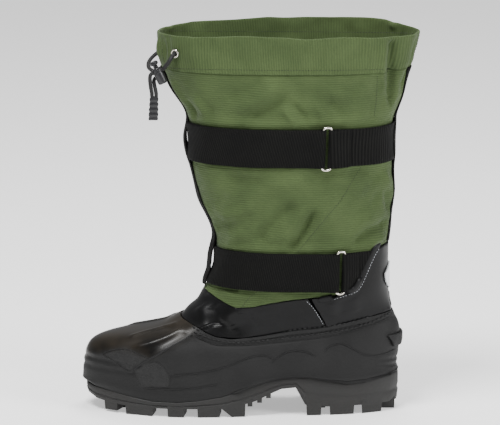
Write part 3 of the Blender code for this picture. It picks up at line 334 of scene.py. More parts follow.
def new_mesh(name: str, corners: list, faces: list) -> bpy.types.Object:
    """Makes a linked object of corners and faces.

    Args:
        name: the object's name.
        corners: its corners.
        faces: the corners' numbers for each face.

    Returns:
        The object.
    """
    mesh = bpy.data.meshes.new(name)
    mesh.from_pydata([tuple(corner) for corner in corners], [], faces)
    mesh.update()
    piece = bpy.data.objects.new(name, mesh)
    bpy.context.scene.collection.objects.link(piece)
    return piece


def settle(
    piece: bpy.types.Object, material: bpy.types.Material, nodes: tuple[str, ...] = ()
) -> bpy.types.Object:
    """Gives a finished piece its material and its body, and hides the CAD nodes that it replaces.

    Args:
        piece: the finished piece.
        material: its finish.
        nodes: the CAD nodes that it replaces.

    Returns:
        The piece.
    """
    piece.data.materials.clear()
    piece.data.materials.append(material)
    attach(piece, "root")
    if nodes:
        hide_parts(*nodes)
    LOG.info("%s: %d faces", piece.name, len(getattr(piece.data, "polygons", ())))
    return piece


def clone_node(
    node: str, name: str, levels: int, sharp: float = 40.0, crease: float = 0.8
) -> bpy.types.Object:
    """Copies a CAD node as a smooth surface with its hard edges kept.

    Args:
        node: the CAD node.
        name: the new piece's name.
        levels: how often it is subdivided.
        sharp: edges over this angle in degrees stay hard.
        crease: how hard they stay, up to 1.

    Returns:
        The new piece.
    """
    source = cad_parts[node]
    piece = bpy.data.objects.new(name, source.data.copy())
    bpy.context.scene.collection.objects.link(piece)
    piece.data.transform(source.matrix_world)
    select_only(piece)
    bpy.ops.mesh.customdata_custom_splitnormals_clear()
    bpy.ops.object.mode_set(mode="EDIT")
    bpy.ops.mesh.select_all(action="SELECT")
    bpy.ops.mesh.remove_doubles(threshold=0.00002)
    bpy.ops.mesh.tris_convert_to_quads(
        face_threshold=math.pi, shape_threshold=math.pi, topology_influence=1.0
    )
    bpy.ops.mesh.normals_make_consistent(inside=False)
    bpy.ops.mesh.select_all(action="DESELECT")
    bpy.ops.mesh.edges_select_sharp(sharpness=math.radians(sharp))
    bpy.ops.transform.edge_crease(value=crease)
    bpy.ops.object.mode_set(mode="OBJECT")
    if levels:
        subdivide(piece, levels)
    return piece


class Wrap:
    """Running length round the leg, laid on a piece as its UV map."""

    HALF_DEPTH = 0.108
    HALF_WIDTH = 0.060
    FOOT_AXIS = 0.052
    RIM_AXIS = 0.036
    FOOT_HEIGHT = 0.13
    RIM_HEIGHT = 0.39

    def __init__(self) -> None:
        """Tabulates the length round an ellipse against the angle."""
        self.angles = np.linspace(-math.pi, math.pi, 721)
        across = self.HALF_DEPTH * np.cos(self.angles)
        along = self.HALF_WIDTH * np.sin(self.angles)
        steps = np.hypot(np.diff(across), np.diff(along))
        self.lengths = np.concatenate(([0.0], np.cumsum(steps)))
        self.lengths -= self.lengths[360]

    def lay(self, piece: bpy.types.Object) -> None:
        """Lays the map: u is the length from the front's middle, v the height.

        Args:
            piece: the mesh that takes the map.
        """
        rows = coordinates(piece)
        share = (rows[:, 2] - self.FOOT_HEIGHT) / (self.RIM_HEIGHT - self.FOOT_HEIGHT)
        axis = self.FOOT_AXIS + (self.RIM_AXIS - self.FOOT_AXIS) * share
        scale = self.HALF_DEPTH / self.HALF_WIDTH
        angle = np.arctan2(-rows[:, 1] * scale, -(rows[:, 0] - axis))
        length = np.interp(angle, self.angles, self.lengths)
        girth = self.lengths[-1] - self.lengths[0]
        mesh = piece.data
        layer = mesh.uv_layers.new(name="wrap")
        numbers = np.empty(len(mesh.loops), dtype=np.int32)
        mesh.loops.foreach_get("vertex_index", numbers)
        along = length[numbers]
        starts = np.empty(len(mesh.polygons), dtype=np.int32)
        mesh.polygons.foreach_get("loop_start", starts)
        low = np.minimum.reduceat(along, starts)
        high = np.maximum.reduceat(along, starts)
        counts = np.diff(np.append(starts, len(along)))
        split = np.repeat(high - low > girth / 2, counts)
        along = np.where(split & (along < 0), along + girth, along)
        pairs = np.column_stack((along, rows[numbers, 2]))
        layer.data.foreach_set("uv", pairs.ravel())


def paint_mask(piece: bpy.types.Object, name: str, values: np.ndarray) -> None:
    """Stores one number a corner for the material to read."""
    layer = piece.data.attributes.new(name, "FLOAT", "POINT")
    layer.data.foreach_set("value", values)


def region(points: np.ndarray, outline: Places, soft: float) -> np.ndarray:
    """Tells how far points lie inside an outline drawn on the photograph.

    Args:
        points: coordinates, one row each; both sides of the boot count.
        outline: the region's corners as pixels.
        soft: the width of its soft edge in pixels.

    Returns:
        1 inside, 0 outside, one value a point.
    """
    pixels = VIEW.pixels(points)
    corners = np.array(smooth_places(outline + (outline[0],), 6.0))
    inside = np.zeros(len(pixels), dtype=bool)
    gap = np.full(len(pixels), 1e9)
    for start, end in zip(corners, np.roll(corners, -1, axis=0)):
        run = end - start
        if np.hypot(*run) < 1e-9:
            continue
        crosses = (start[1] > pixels[:, 1]) != (end[1] > pixels[:, 1])
        rise = np.where(crosses, end[1] - start[1], 1.0)
        across = start[0] + (pixels[:, 1] - start[1]) / rise * run[0]
        inside ^= crosses & (pixels[:, 0] < across)
        share = np.clip(((pixels - start) @ run) / (run @ run), 0.0, 1.0)
        gap = np.minimum(gap, np.linalg.norm(pixels - (start + share[:, None] * run), axis=1))
    signed = np.where(inside, gap, -gap)
    return np.clip(signed / soft * 0.5 + 0.5, 0.0, 1.0)


def sweep(
    name: str, paths: list, radius: float, lift: float, sides: int = 6, flat: float = 1.0
) -> bpy.types.Object:
    """Runs a bead along lines on a surface.

    Args:
        name: the new piece's name.
        paths: pairs of points and normals, one pair a line.
        radius: the bead's half width.
        lift: how far its middle lies off the surface.
        sides: its sides.
        flat: its height as a share of its width.

    Returns:
        One piece that holds all the beads.
    """
    corners = []
    faces = []
    for points, normals in paths:
        if len(points) < 3:
            continue
        start = len(corners)
        along = np.gradient(points, axis=0)
        count = len(points)
        for index in range(count):
            tangent = along[index] / max(np.linalg.norm(along[index]), 1e-9)
            up = normals[index] - tangent * (normals[index] @ tangent)
            up /= max(np.linalg.norm(up), 1e-9)
            side = np.cross(tangent, up)
            end = min(index, count - 1 - index)
            size = radius * (0.35 if end == 0 else 0.8 if end == 1 else 1.0)
            middle = points[index] + up * lift
            for step in range(sides):
                turn = 2 * math.pi * step / sides
                corners.append(
                    middle + side * math.cos(turn) * size + up * math.sin(turn) * size * flat
                )
        for index in range(count - 1):
            for step in range(sides):
                a = start + index * sides + step
                b = start + index * sides + (step + 1) % sides
                faces.append((a, b, b + sides, a + sides))
        faces.append(tuple(start + step for step in reversed(range(sides))))
        faces.append(tuple(start + (count - 1) * sides + step for step in range(sides)))
    piece = new_mesh(name, corners, faces)
    soften(piece, 60.0)
    return piece


def resample(points: np.ndarray, normals: np.ndarray, spacing: float) -> tuple:
    """Spaces a line's samples evenly.

    Args:
        points: the line's points.
        normals: their normals.
        spacing: the new distance between points.

    Returns:
        The new points and normals.
    """
    steps = np.linalg.norm(np.diff(points, axis=0), axis=1)
    run = np.concatenate(([0.0], np.cumsum(steps)))
    places = np.arange(spacing / 2, run[-1], spacing)
    new_points = np.column_stack([np.interp(places, run, points[:, k]) for k in range(3)])
    new_normals = np.column_stack([np.interp(places, run, normals[:, k]) for k in range(3)])
    return new_points, new_normals


@dataclass(frozen=True)
class Thread:
    """A row of stitches.

    Attributes:
        length: one stitch's length.
        pitch: the distance from one stitch to the next.
        width: its width.
        rise: how far its middle lies off the cloth.
    """

    length: float = 0.0024
    pitch: float = 0.0034
    width: float = 0.0007
    rise: float = 0.0001

    def sew(self, name: str, paths: list) -> bpy.types.Object:
        """Sews stitches along lines.

        Args:
            name: the new piece's name.
            paths: pairs of points and normals, one pair a line.

        Returns:
            One piece that holds all the stitches.
        """
        bpy.ops.object.select_all(action="DESELECT")
        bpy.ops.mesh.primitive_uv_sphere_add(segments=6, ring_count=5, radius=1.0)
        pattern = bpy.context.active_object
        shape = coordinates(pattern)
        shape = shape[:, [2, 0, 1]] * (self.length / 2, self.width / 2, self.width / 2)
        pattern_faces = [list(face.vertices) for face in pattern.data.polygons]
        bpy.data.objects.remove(pattern, do_unlink=True)
        corners = []
        faces = []
        for points, normals in paths:
            if len(points) < 3:
                continue
            points, normals = resample(points, normals, self.pitch)
            if len(points) < 2:
                continue
            along = np.gradient(points, axis=0)
            for point, normal, way in zip(points, normals, along):
                tangent = way / max(np.linalg.norm(way), 1e-9)
                up = normal - tangent * (normal @ tangent)
                up /= max(np.linalg.norm(up), 1e-9)
                axes = np.stack((tangent, np.cross(up, tangent), up))
                start = len(corners)
                corners += list(shape @ axes + point + up * self.rise)
                faces += [[start + i for i in face] for face in pattern_faces]
        piece = new_mesh(name, corners, faces)
        soften(piece, 80.0)
        return piece


class Graph:
    """Adds linked shader nodes in few words."""

    def __init__(self, tree: bpy.types.NodeTree) -> None:
        """Starts on a node tree."""
        self.tree = tree

    def add(self, kind: str, settings: dict | None = None, **inputs: object) -> bpy.types.Node:
        """Adds a node.

        Args:
            kind: the node's type.
            settings: the node's own options.
            inputs: values or sockets for its inputs, by name with _ for a space; a name of
                in0, in1 and so on gives an input by its number.

        Returns:
            The node.
        """
        node = self.tree.nodes.new(kind)
        for key, value in (settings or {}).items():
            setattr(node, key, value)
        for key, value in inputs.items():
            if key.startswith("in") and key[2:].isdigit():
                socket = node.inputs[int(key[2:])]
            else:
                socket = node.inputs[key.replace("_", " ")]
            if isinstance(value, bpy.types.NodeSocket):
                self.tree.links.new(value, socket)
            else:
                socket.default_value = value
        return node

    def maths(self, operation: str, first: object, second: object = 0.0) -> bpy.types.NodeSocket:
        """Adds a Math node and returns its result."""
        node = self.add("ShaderNodeMath", {"operation": operation}, in0=first, in1=second)
        return node.outputs[0]

    def blend(self, share: object, first: object, second: object) -> bpy.types.NodeSocket:
        """Adds a colour Mix node and returns its result."""
        node = self.add("ShaderNodeMix", {"data_type": "RGBA"}, in0=share, in6=first, in7=second)
        return node.outputs[2]

    def between(self, share: object, low: float, high: float) -> bpy.types.NodeSocket:
        """Maps a share from 0 to 1 onto a range and returns the result."""
        node = self.add("ShaderNodeMapRange", None, Value=share)
        node.inputs["To Min"].default_value = low
        node.inputs["To Max"].default_value = high
        return node.outputs[0]


def new_group(name: str, inputs: dict[str, tuple[str, object]], outputs: tuple[str, ...]) -> tuple:
    """Starts a shader node group.

    Args:
        name: the group's name.
        inputs: each input's socket type and default value.
        outputs: the names of its number outputs.

    Returns:
        The group's graph, its input node and its output node.
    """
    tree = bpy.data.node_groups.new(name, "ShaderNodeTree")
    for label, (kind, value) in inputs.items():
        socket = tree.interface.new_socket(label, in_out="INPUT", socket_type=kind)
        if value is not None:
            socket.default_value = value
    for label in outputs:
        tree.interface.new_socket(label, in_out="OUTPUT", socket_type="NodeSocketFloat")
    graph = Graph(tree)
    return graph, graph.add("NodeGroupInput"), graph.add("NodeGroupOutput")


VECTOR = "NodeSocketVector"
NUMBER = "NodeSocketFloat"


def make_ribs_group() -> bpy.types.NodeTree:
    """Builds woven ribs: rounded ridges, with a painted shade output that lightens their crests and darkens their
    troughs, fading in and out in patches.

    Returns:
        The node group.
    """
    graph, given, result = new_group(
        "woven_ribs",
        {"Along": (NUMBER, 0.0), "Place": (VECTOR, None), "Pitch": (NUMBER, 0.002),
         "Sway": (NUMBER, 0.0002)},
        ("Height", "Shade"),
    )
    soft = graph.add("ShaderNodeTexNoise", None, Vector=given.outputs["Place"], Scale=60.0, Detail=2.0)
    sway = graph.maths("MULTIPLY", soft.outputs[0], given.outputs["Sway"])
    along = graph.maths("ADD", given.outputs["Along"], sway)
    turns = graph.maths("DIVIDE", along, given.outputs["Pitch"])
    wave = graph.maths("SINE", graph.maths("MULTIPLY", turns, 2 * math.pi))
    height = graph.between(graph.maths("MULTIPLY", graph.maths("ADD", wave, 1.0), 0.5), 0.0, 1.0)
    # The shade output made below is painted shade on the ribs: crests lighter, troughs darker, fading in patches.
    patch = graph.add("ShaderNodeTexNoise", None, Vector=given.outputs["Place"], Scale=28.0, Detail=2.0)
    strength = graph.between(patch.outputs[0], 0.1, 1.0)
    graph.tree.links.new(height, result.inputs["Height"])
    graph.tree.links.new(graph.maths("MULTIPLY", height, strength), result.inputs["Shade"])
    return graph.tree


def make_mottle_group() -> bpy.types.NodeTree:
    """Builds soft uneven tone at a chosen size.

    Returns:
        The node group.
    """
    graph, given, result = new_group(
        "uneven_tone", {"Place": (VECTOR, None), "Scale": (NUMBER, 30.0)}, ("Tone", "Fine")
    )
    broad = graph.add(
        "ShaderNodeTexNoise", None, Vector=given.outputs["Place"], Scale=given.outputs["Scale"],
        Detail=3.0, Roughness=0.55
    )
    fine = graph.add(
        "ShaderNodeTexNoise", None, Vector=given.outputs["Place"],
        Scale=graph.maths("MULTIPLY", given.outputs["Scale"], 26.0), Detail=2.0
    )
    node = graph.add("ShaderNodeMapRange", None, Value=broad.outputs[0])
    node.inputs["From Min"].default_value = 0.33
    node.inputs["From Max"].default_value = 0.67
    graph.tree.links.new(node.outputs[0], result.inputs["Tone"])
    graph.tree.links.new(fine.outputs[0], result.inputs["Fine"])
    return graph.tree


def make_grain_group() -> bpy.types.NodeTree:
    """Builds pebbled grain, for leather, rubber and plastic.

    Returns:
        The node group.
    """
    graph, given, result = new_group(
        "pebbled_grain", {"Place": (VECTOR, None), "Scale": (NUMBER, 700.0)}, ("Height",)
    )
    cells = graph.add(
        "ShaderNodeTexVoronoi", {"feature": "SMOOTH_F1"}, Vector=given.outputs["Place"],
        Scale=given.outputs["Scale"]
    )
    speck = graph.add(
        "ShaderNodeTexNoise", None, Vector=given.outputs["Place"],
        Scale=graph.maths("MULTIPLY", given.outputs["Scale"], 1.7), Detail=2.0
    )
    height = graph.maths("ADD", cells.outputs["Distance"], graph.maths("MULTIPLY", speck.outputs[0], 0.5))
    graph.tree.links.new(height, result.inputs["Height"])
    return graph.tree


class Palette:
    """Makes the boot's materials from shared groups, each of them once."""

    def __init__(self) -> None:
        """Builds the shared node groups."""
        self.ribs = make_ribs_group()
        self.mottle = make_mottle_group()
        self.grain = make_grain_group()

    def start(self, name: str, **constants: float) -> tuple[bpy.types.Material, Graph, object, object]:
        """Starts a material.

        Args:
            name: its name.
            constants: values of the shader's own inputs, with _ for a space.

        Returns:
            The material, its graph, its shader and the Object coordinates.
        """
        material = bpy.data.materials.new(name)
        material.use_nodes = True
        shader = material.node_tree.nodes["Principled BSDF"]
        for key, value in constants.items():
            shader.inputs[key.replace("_", " ")].default_value = value
        graph = Graph(material.node_tree)
        place = graph.add("ShaderNodeTexCoord").outputs["Object"]
        return material, graph, shader, place

    def group(self, graph: Graph, tree: bpy.types.NodeTree, **inputs: object) -> bpy.types.Node:
        """Places a shared group in a material's graph."""
        return graph.add("ShaderNodeGroup", {"node_tree": tree}, **inputs)


def tint(red: float, green: float, blue: float) -> tuple[float, float, float, float]:
    """Turns a colour as seen, 0 to 255, into a linear one."""
    linear = []
    for value in (red, green, blue):
        share = value / 255
        linear.append(share / 12.92 if share <= 0.04045 else ((share + 0.055) / 1.055) ** 2.4)
    return (*linear, 1.0)


@dataclass(frozen=True)
class Nylon:
    """Green ribbed nylon.

    Attributes:
        name: the material's name.
        run: the way its ribs run.
        light: its lighter tone.
        dark: its darker tone.
        pitch: the distance between ribs.
    """

    name: str
    run: RibRun
    light: tuple = tint(68, 83, 48)
    dark: tuple = tint(51, 65, 35)
    pitch: float = 0.0023

    def make(self, palette: Palette) -> bpy.types.Material:
        """Builds the material from the palette's groups and returns it."""
        material, graph, shader, place = palette.start(
            self.name, Roughness=0.8, Sheen_Weight=0.06, Sheen_Roughness=0.4, Specular_IOR_Level=0.2
        )
        wrap = graph.add("ShaderNodeUVMap", {"uv_map": "wrap"})
        axes = graph.add("ShaderNodeSeparateXYZ", None, in0=wrap.outputs[0])
        along = axes.outputs[1 if self.run is RibRun.ROUND else 0]
        across = axes.outputs[0 if self.run is RibRun.ROUND else 1]
        ribs = palette.group(graph, palette.ribs, Along=along, Place=place, Pitch=self.pitch)
        weave = palette.group(
            graph, palette.ribs, Along=across, Place=place, Pitch=self.pitch * 0.45, Sway=0.0001
        )
        tone = palette.group(graph, palette.mottle, Place=place, Scale=22.0)
        colour = graph.blend(tone.outputs["Tone"], self.dark, self.light)
        # Lighter green on the rib crests, fading in patches: a painted highlight along the ribs.
        ribbed = graph.blend(
            graph.maths("MULTIPLY", ribs.outputs["Shade"], 0.45), colour, tint(92, 110, 66)
        )
        speckled = graph.blend(
            graph.maths("MULTIPLY", tone.outputs["Fine"], 0.5), ribbed, tint(38, 51, 26)
        )
        graph.tree.links.new(speckled, shader.inputs["Base Color"])
        height = graph.maths(
            "ADD", ribs.outputs["Height"], graph.maths("MULTIPLY", weave.outputs["Height"], 0.4)
        )
        bump = graph.add("ShaderNodeBump", None, Height=height, Strength=0.6, Distance=0.0004)
        graph.tree.links.new(bump.outputs[0], shader.inputs["Normal"])
        return material


@dataclass(frozen=True)
class WebbingFinish:
    """Black ribbed webbing.

    Attributes:
        name: the material's name.
        run: the way its ribs run.
        pitch: the distance between ribs.
        slant: how far the ribs lean, along for each unit up.
        depth: the ribs' depth.
    """

    name: str
    run: RibRun
    pitch: float = 0.0025
    slant: float = 0.0
    depth: float = 0.0004

    def make(self, palette: Palette) -> bpy.types.Material:
        """Builds the material from the palette's groups and returns it."""
        material, graph, shader, place = palette.start(
            self.name, Roughness=0.8, Sheen_Weight=0.01, Sheen_Roughness=0.4, Specular_IOR_Level=0.1
        )
        wrap = graph.add("ShaderNodeUVMap", {"uv_map": "wrap"})
        axes = graph.add("ShaderNodeSeparateXYZ", None, in0=wrap.outputs[0])
        along = axes.outputs[0 if self.run is RibRun.UP else 1]
        across = axes.outputs[1 if self.run is RibRun.UP else 0]
        leaning = graph.maths("ADD", along, graph.maths("MULTIPLY", across, self.slant))
        ribs = palette.group(graph, palette.ribs, Along=leaning, Place=place, Pitch=self.pitch)
        weave = palette.group(graph, palette.ribs, Along=across, Place=place, Pitch=0.0012)
        # Near black in the rib troughs and lighter on the crests: painted shade and highlight on the ribs.
        colour = graph.blend(ribs.outputs["Shade"], tint(5, 5, 5), tint(24, 24, 22))
        graph.tree.links.new(colour, shader.inputs["Base Color"])
        height = graph.maths(
            "ADD", ribs.outputs["Height"], graph.maths("MULTIPLY", weave.outputs["Height"], 0.25)
        )
        bump = graph.add("ShaderNodeBump", None, Height=height, Strength=0.8, Distance=self.depth)
        graph.tree.links.new(bump.outputs[0], shader.inputs["Normal"])
        return material


@dataclass(frozen=True)
class FauxLeather:
    """Shiny coated leather."""

    name: str = "shiny_leather"

    def make(self, palette: Palette) -> bpy.types.Material:
        """Builds the material from the palette's groups and returns it."""
        material, graph, shader, place = palette.start(
            self.name, Coat_Weight=0.05, Coat_Roughness=0.3, Specular_IOR_Level=0.14
        )
        tone = palette.group(graph, palette.mottle, Place=place, Scale=34.0)
        colour = graph.blend(tone.outputs["Tone"], tint(6, 6, 6), tint(12, 12, 13))
        graph.tree.links.new(colour, shader.inputs["Base Color"])
        rough = graph.between(tone.outputs["Tone"], 0.34, 0.44)
        graph.tree.links.new(rough, shader.inputs["Roughness"])
        grain = palette.group(graph, palette.grain, Place=place, Scale=900.0)
        bump = graph.add(
            "ShaderNodeBump", None, Height=grain.outputs["Height"], Strength=0.18, Distance=0.0003
        )
        graph.tree.links.new(bump.outputs[0], shader.inputs["Normal"])
        return material


@dataclass(frozen=True)
class ShellRubber:
    """Moulded rubber that is matt on the sides, glossy on the vamp and grained in patches."""

    name: str = "moulded_foot_rubber"

    def make(self, palette: Palette) -> bpy.types.Material:
        """Builds the material from the palette's groups and returns it."""
        material, graph, shader, place = palette.start(self.name, Specular_IOR_Level=0.22)
        gloss = graph.add("ShaderNodeAttribute", {"attribute_name": "gloss"}).outputs["Fac"]
        patch = graph.add("ShaderNodeAttribute", {"attribute_name": "patch"}).outputs["Fac"]
        tone = palette.group(graph, palette.mottle, Place=place, Scale=26.0)
        matt = graph.blend(tone.outputs["Tone"], tint(20, 20, 20), tint(27, 27, 27))
        shiny = graph.blend(tone.outputs["Tone"], tint(10, 9, 8), tint(34, 29, 22))
        pebble = palette.group(graph, palette.grain, Place=place, Scale=420.0)
        dots = graph.maths("MULTIPLY", graph.maths("MULTIPLY", pebble.outputs["Height"], patch), 0.5)
        smooth = graph.blend(gloss, matt, shiny)
        graph.tree.links.new(graph.blend(dots, smooth, tint(42, 42, 42)), shader.inputs["Base Color"])
        rough = graph.maths(
            "SUBTRACT", graph.between(tone.outputs["Tone"], 0.58, 0.66),
            graph.maths("MULTIPLY", gloss, 0.30)
        )
        graph.tree.links.new(rough, shader.inputs["Roughness"])
        fine = palette.group(graph, palette.grain, Place=place, Scale=1300.0)
        speckle = graph.maths("MULTIPLY", fine.outputs["Height"], graph.between(gloss, 0.35, 0.05))
        height = graph.maths("ADD", speckle, graph.maths("MULTIPLY", pebble.outputs["Height"], patch))
        bump = graph.add("ShaderNodeBump", None, Height=height, Strength=0.8, Distance=0.0006)
        graph.tree.links.new(bump.outputs[0], shader.inputs["Normal"])
        return material


@dataclass(frozen=True)
class Moulded:
    """Plain moulded rubber or plastic.

    Attributes:
        name: the material's name.
        light: its lighter tone.
        dark: its darker tone.
        roughness: its middle roughness.
        grain: the scale of its grain.
        bump: the strength of its grain.
    """

    name: str
    light: tuple
    dark: tuple
    roughness: float = 0.6
    grain: float = 900.0
    bump: float = 0.2

    def make(self, palette: Palette) -> bpy.types.Material:
        """Builds the material from the palette's groups and returns it."""
        material, graph, shader, place = palette.start(self.name, Specular_IOR_Level=0.4)
        tone = palette.group(graph, palette.mottle, Place=place, Scale=30.0)
        colour = graph.blend(tone.outputs["Tone"], self.dark, self.light)
        graph.tree.links.new(colour, shader.inputs["Base Color"])
        rough = graph.between(tone.outputs["Tone"], self.roughness - 0.05, self.roughness + 0.05)
        graph.tree.links.new(rough, shader.inputs["Roughness"])
        grain = palette.group(graph, palette.grain, Place=place, Scale=self.grain)
        bump = graph.add(
            "ShaderNodeBump", None, Height=grain.outputs["Height"], Strength=self.bump, Distance=0.0004
        )
        graph.tree.links.new(bump.outputs[0], shader.inputs["Normal"])
        return material


@dataclass(frozen=True)
class Felt:
    """Soft black felt."""

    name: str = "soft_black_felt"

    def make(self, palette: Palette) -> bpy.types.Material:
        """Builds the material from the palette's groups and returns it."""
        material, graph, shader, place = palette.start(
            self.name, Roughness=0.95, Sheen_Weight=0.08, Sheen_Roughness=0.5, Specular_IOR_Level=0.06
        )
        tone = palette.group(graph, palette.mottle, Place=place, Scale=60.0)
        colour = graph.blend(tone.outputs["Fine"], tint(6, 6, 6), tint(15, 15, 16))
        graph.tree.links.new(colour, shader.inputs["Base Color"])
        bump = graph.add(
            "ShaderNodeBump", None, Height=tone.outputs["Fine"], Strength=0.7, Distance=0.0008
        )
        graph.tree.links.new(bump.outputs[0], shader.inputs["Normal"])
        return material


@dataclass(frozen=True)
class Plated:
    """Nickel-plated wire."""

    name: str = "plated_wire"

    def make(self, palette: Palette) -> bpy.types.Material:
        """Builds the material from the palette's groups and returns it."""
        material, graph, shader, place = palette.start(self.name, Metallic=1.0)
        tone = palette.group(graph, palette.mottle, Place=place, Scale=120.0)
        colour = graph.blend(tone.outputs["Tone"], tint(196, 190, 176), tint(226, 222, 212))
        graph.tree.links.new(colour, shader.inputs["Base Color"])
        rough = graph.between(tone.outputs["Tone"], 0.16, 0.30)
        graph.tree.links.new(rough, shader.inputs["Roughness"])
        return material


@dataclass(frozen=True)
class Film:
    """Plain silver reflective film with a fine cell pattern."""

    name: str = "silver_reflective_film"

    def make(self, palette: Palette) -> bpy.types.Material:
        """Builds the material from the palette's groups and returns it."""
        material, graph, shader, place = palette.start(self.name, Metallic=0.35, Coat_Weight=0.4)
        cells = palette.group(graph, palette.grain, Place=place, Scale=800.0)
        tone = palette.group(graph, palette.mottle, Place=place, Scale=60.0)
        colour = graph.blend(tone.outputs["Tone"], tint(196, 198, 200), tint(216, 218, 219))
        graph.tree.links.new(colour, shader.inputs["Base Color"])
        rough = graph.between(tone.outputs["Tone"], 0.34, 0.44)
        graph.tree.links.new(rough, shader.inputs["Roughness"])
        bump = graph.add(
            "ShaderNodeBump", None, Height=cells.outputs["Height"], Strength=0.3, Distance=0.0002
        )
        graph.tree.links.new(bump.outputs[0], shader.inputs["Normal"])
        return material


@dataclass
class Studio:
    """Plain pale floor, soft lights and the camera at the photograph's angle.

    Attributes:
        floor_size: the floor's length and width.
        floor_tone: its colour.
        floor_glow: how much light it gives off, for a pale background.
        world_light: the brightness all round.
    """

    floor_size: float = 14.0
    floor_tone: tuple = (0.90, 0.90, 0.90, 1.0)
    floor_glow: float = 0.55
    world_light: float = 0.42

    def camera(self) -> bpy.types.Object:
        """Places the camera and makes it the scene's.

        Returns:
            The camera.
        """
        data = bpy.data.cameras.new("camera")
        data.sensor_width = 36.0
        data.lens = VIEW.focal() * data.sensor_width / VIEW.width
        data.clip_end = 60.0
        camera = bpy.data.objects.new("camera", data)
        bpy.context.scene.collection.objects.link(camera)
        right, up, forward = VIEW.axes()
        turn = Matrix((right, up, -forward)).transposed().to_4x4()
        camera.matrix_world = Matrix.Translation(Vector(VIEW.eye)) @ turn
        bpy.context.scene.camera = camera
        return camera

    def floor(self) -> bpy.types.Object:
        """Lays the floor.

        Returns:
            The floor.
        """
        bpy.ops.object.select_all(action="DESELECT")
        bpy.ops.mesh.primitive_plane_add(size=self.floor_size, location=(0.0, 3.0, -0.0004))
        floor = bpy.context.active_object
        floor.name = "studio_floor"
        material = bpy.data.materials.new("pale_floor")
        material.use_nodes = True
        shader = material.node_tree.nodes["Principled BSDF"]
        shader.inputs["Base Color"].default_value = self.floor_tone
        shader.inputs["Roughness"].default_value = 0.9
        shader.inputs["Specular IOR Level"].default_value = 0.1
        shader.inputs["Emission Color"].default_value = self.floor_tone
        shader.inputs["Emission Strength"].default_value = self.floor_glow
        floor.data.materials.append(material)
        return floor

    def softbox(self, name: str, place: Point, size: float, power: float) -> None:
        """Hangs one square light that faces the boot.

        Args:
            name: its name.
            place: where it hangs.
            size: its side.
            power: its power in watts.
        """
        data = bpy.data.lights.new(name, "AREA")
        data.energy = power
        data.size = size
        light = bpy.data.objects.new(name, data)
        bpy.context.scene.collection.objects.link(light)
        way = Vector((0.0, 0.0, 0.18)) - Vector(place)
        light.matrix_world = Matrix.Translation(Vector(place)) @ way.to_track_quat("-Z", "Y").to_matrix().to_4x4()

    def light(self) -> None:
        """Sets the world's brightness and hangs the lights."""
        world = bpy.data.worlds.new("studio_air")
        bpy.context.scene.world = world
        world.use_nodes = True
        background = world.node_tree.nodes["Background"]
        background.inputs[0].default_value = (1.0, 1.0, 1.0, 1.0)
        background.inputs[1].default_value = self.world_light
        self.softbox("key_light", (-0.5, -0.75, 1.9), 0.7, 54.0)
        self.softbox("heel_light", (1.7, -1.0, 1.1), 0.8, 34.0)
        self.softbox("top_light", (0.2, 0.7, 2.1), 0.9, 30.0)

    def build(self) -> None:
        """Makes the whole studio."""
        self.camera()
        self.floor()
        self.light()


BOTH = (Aim.OUTER, Aim.INNER)


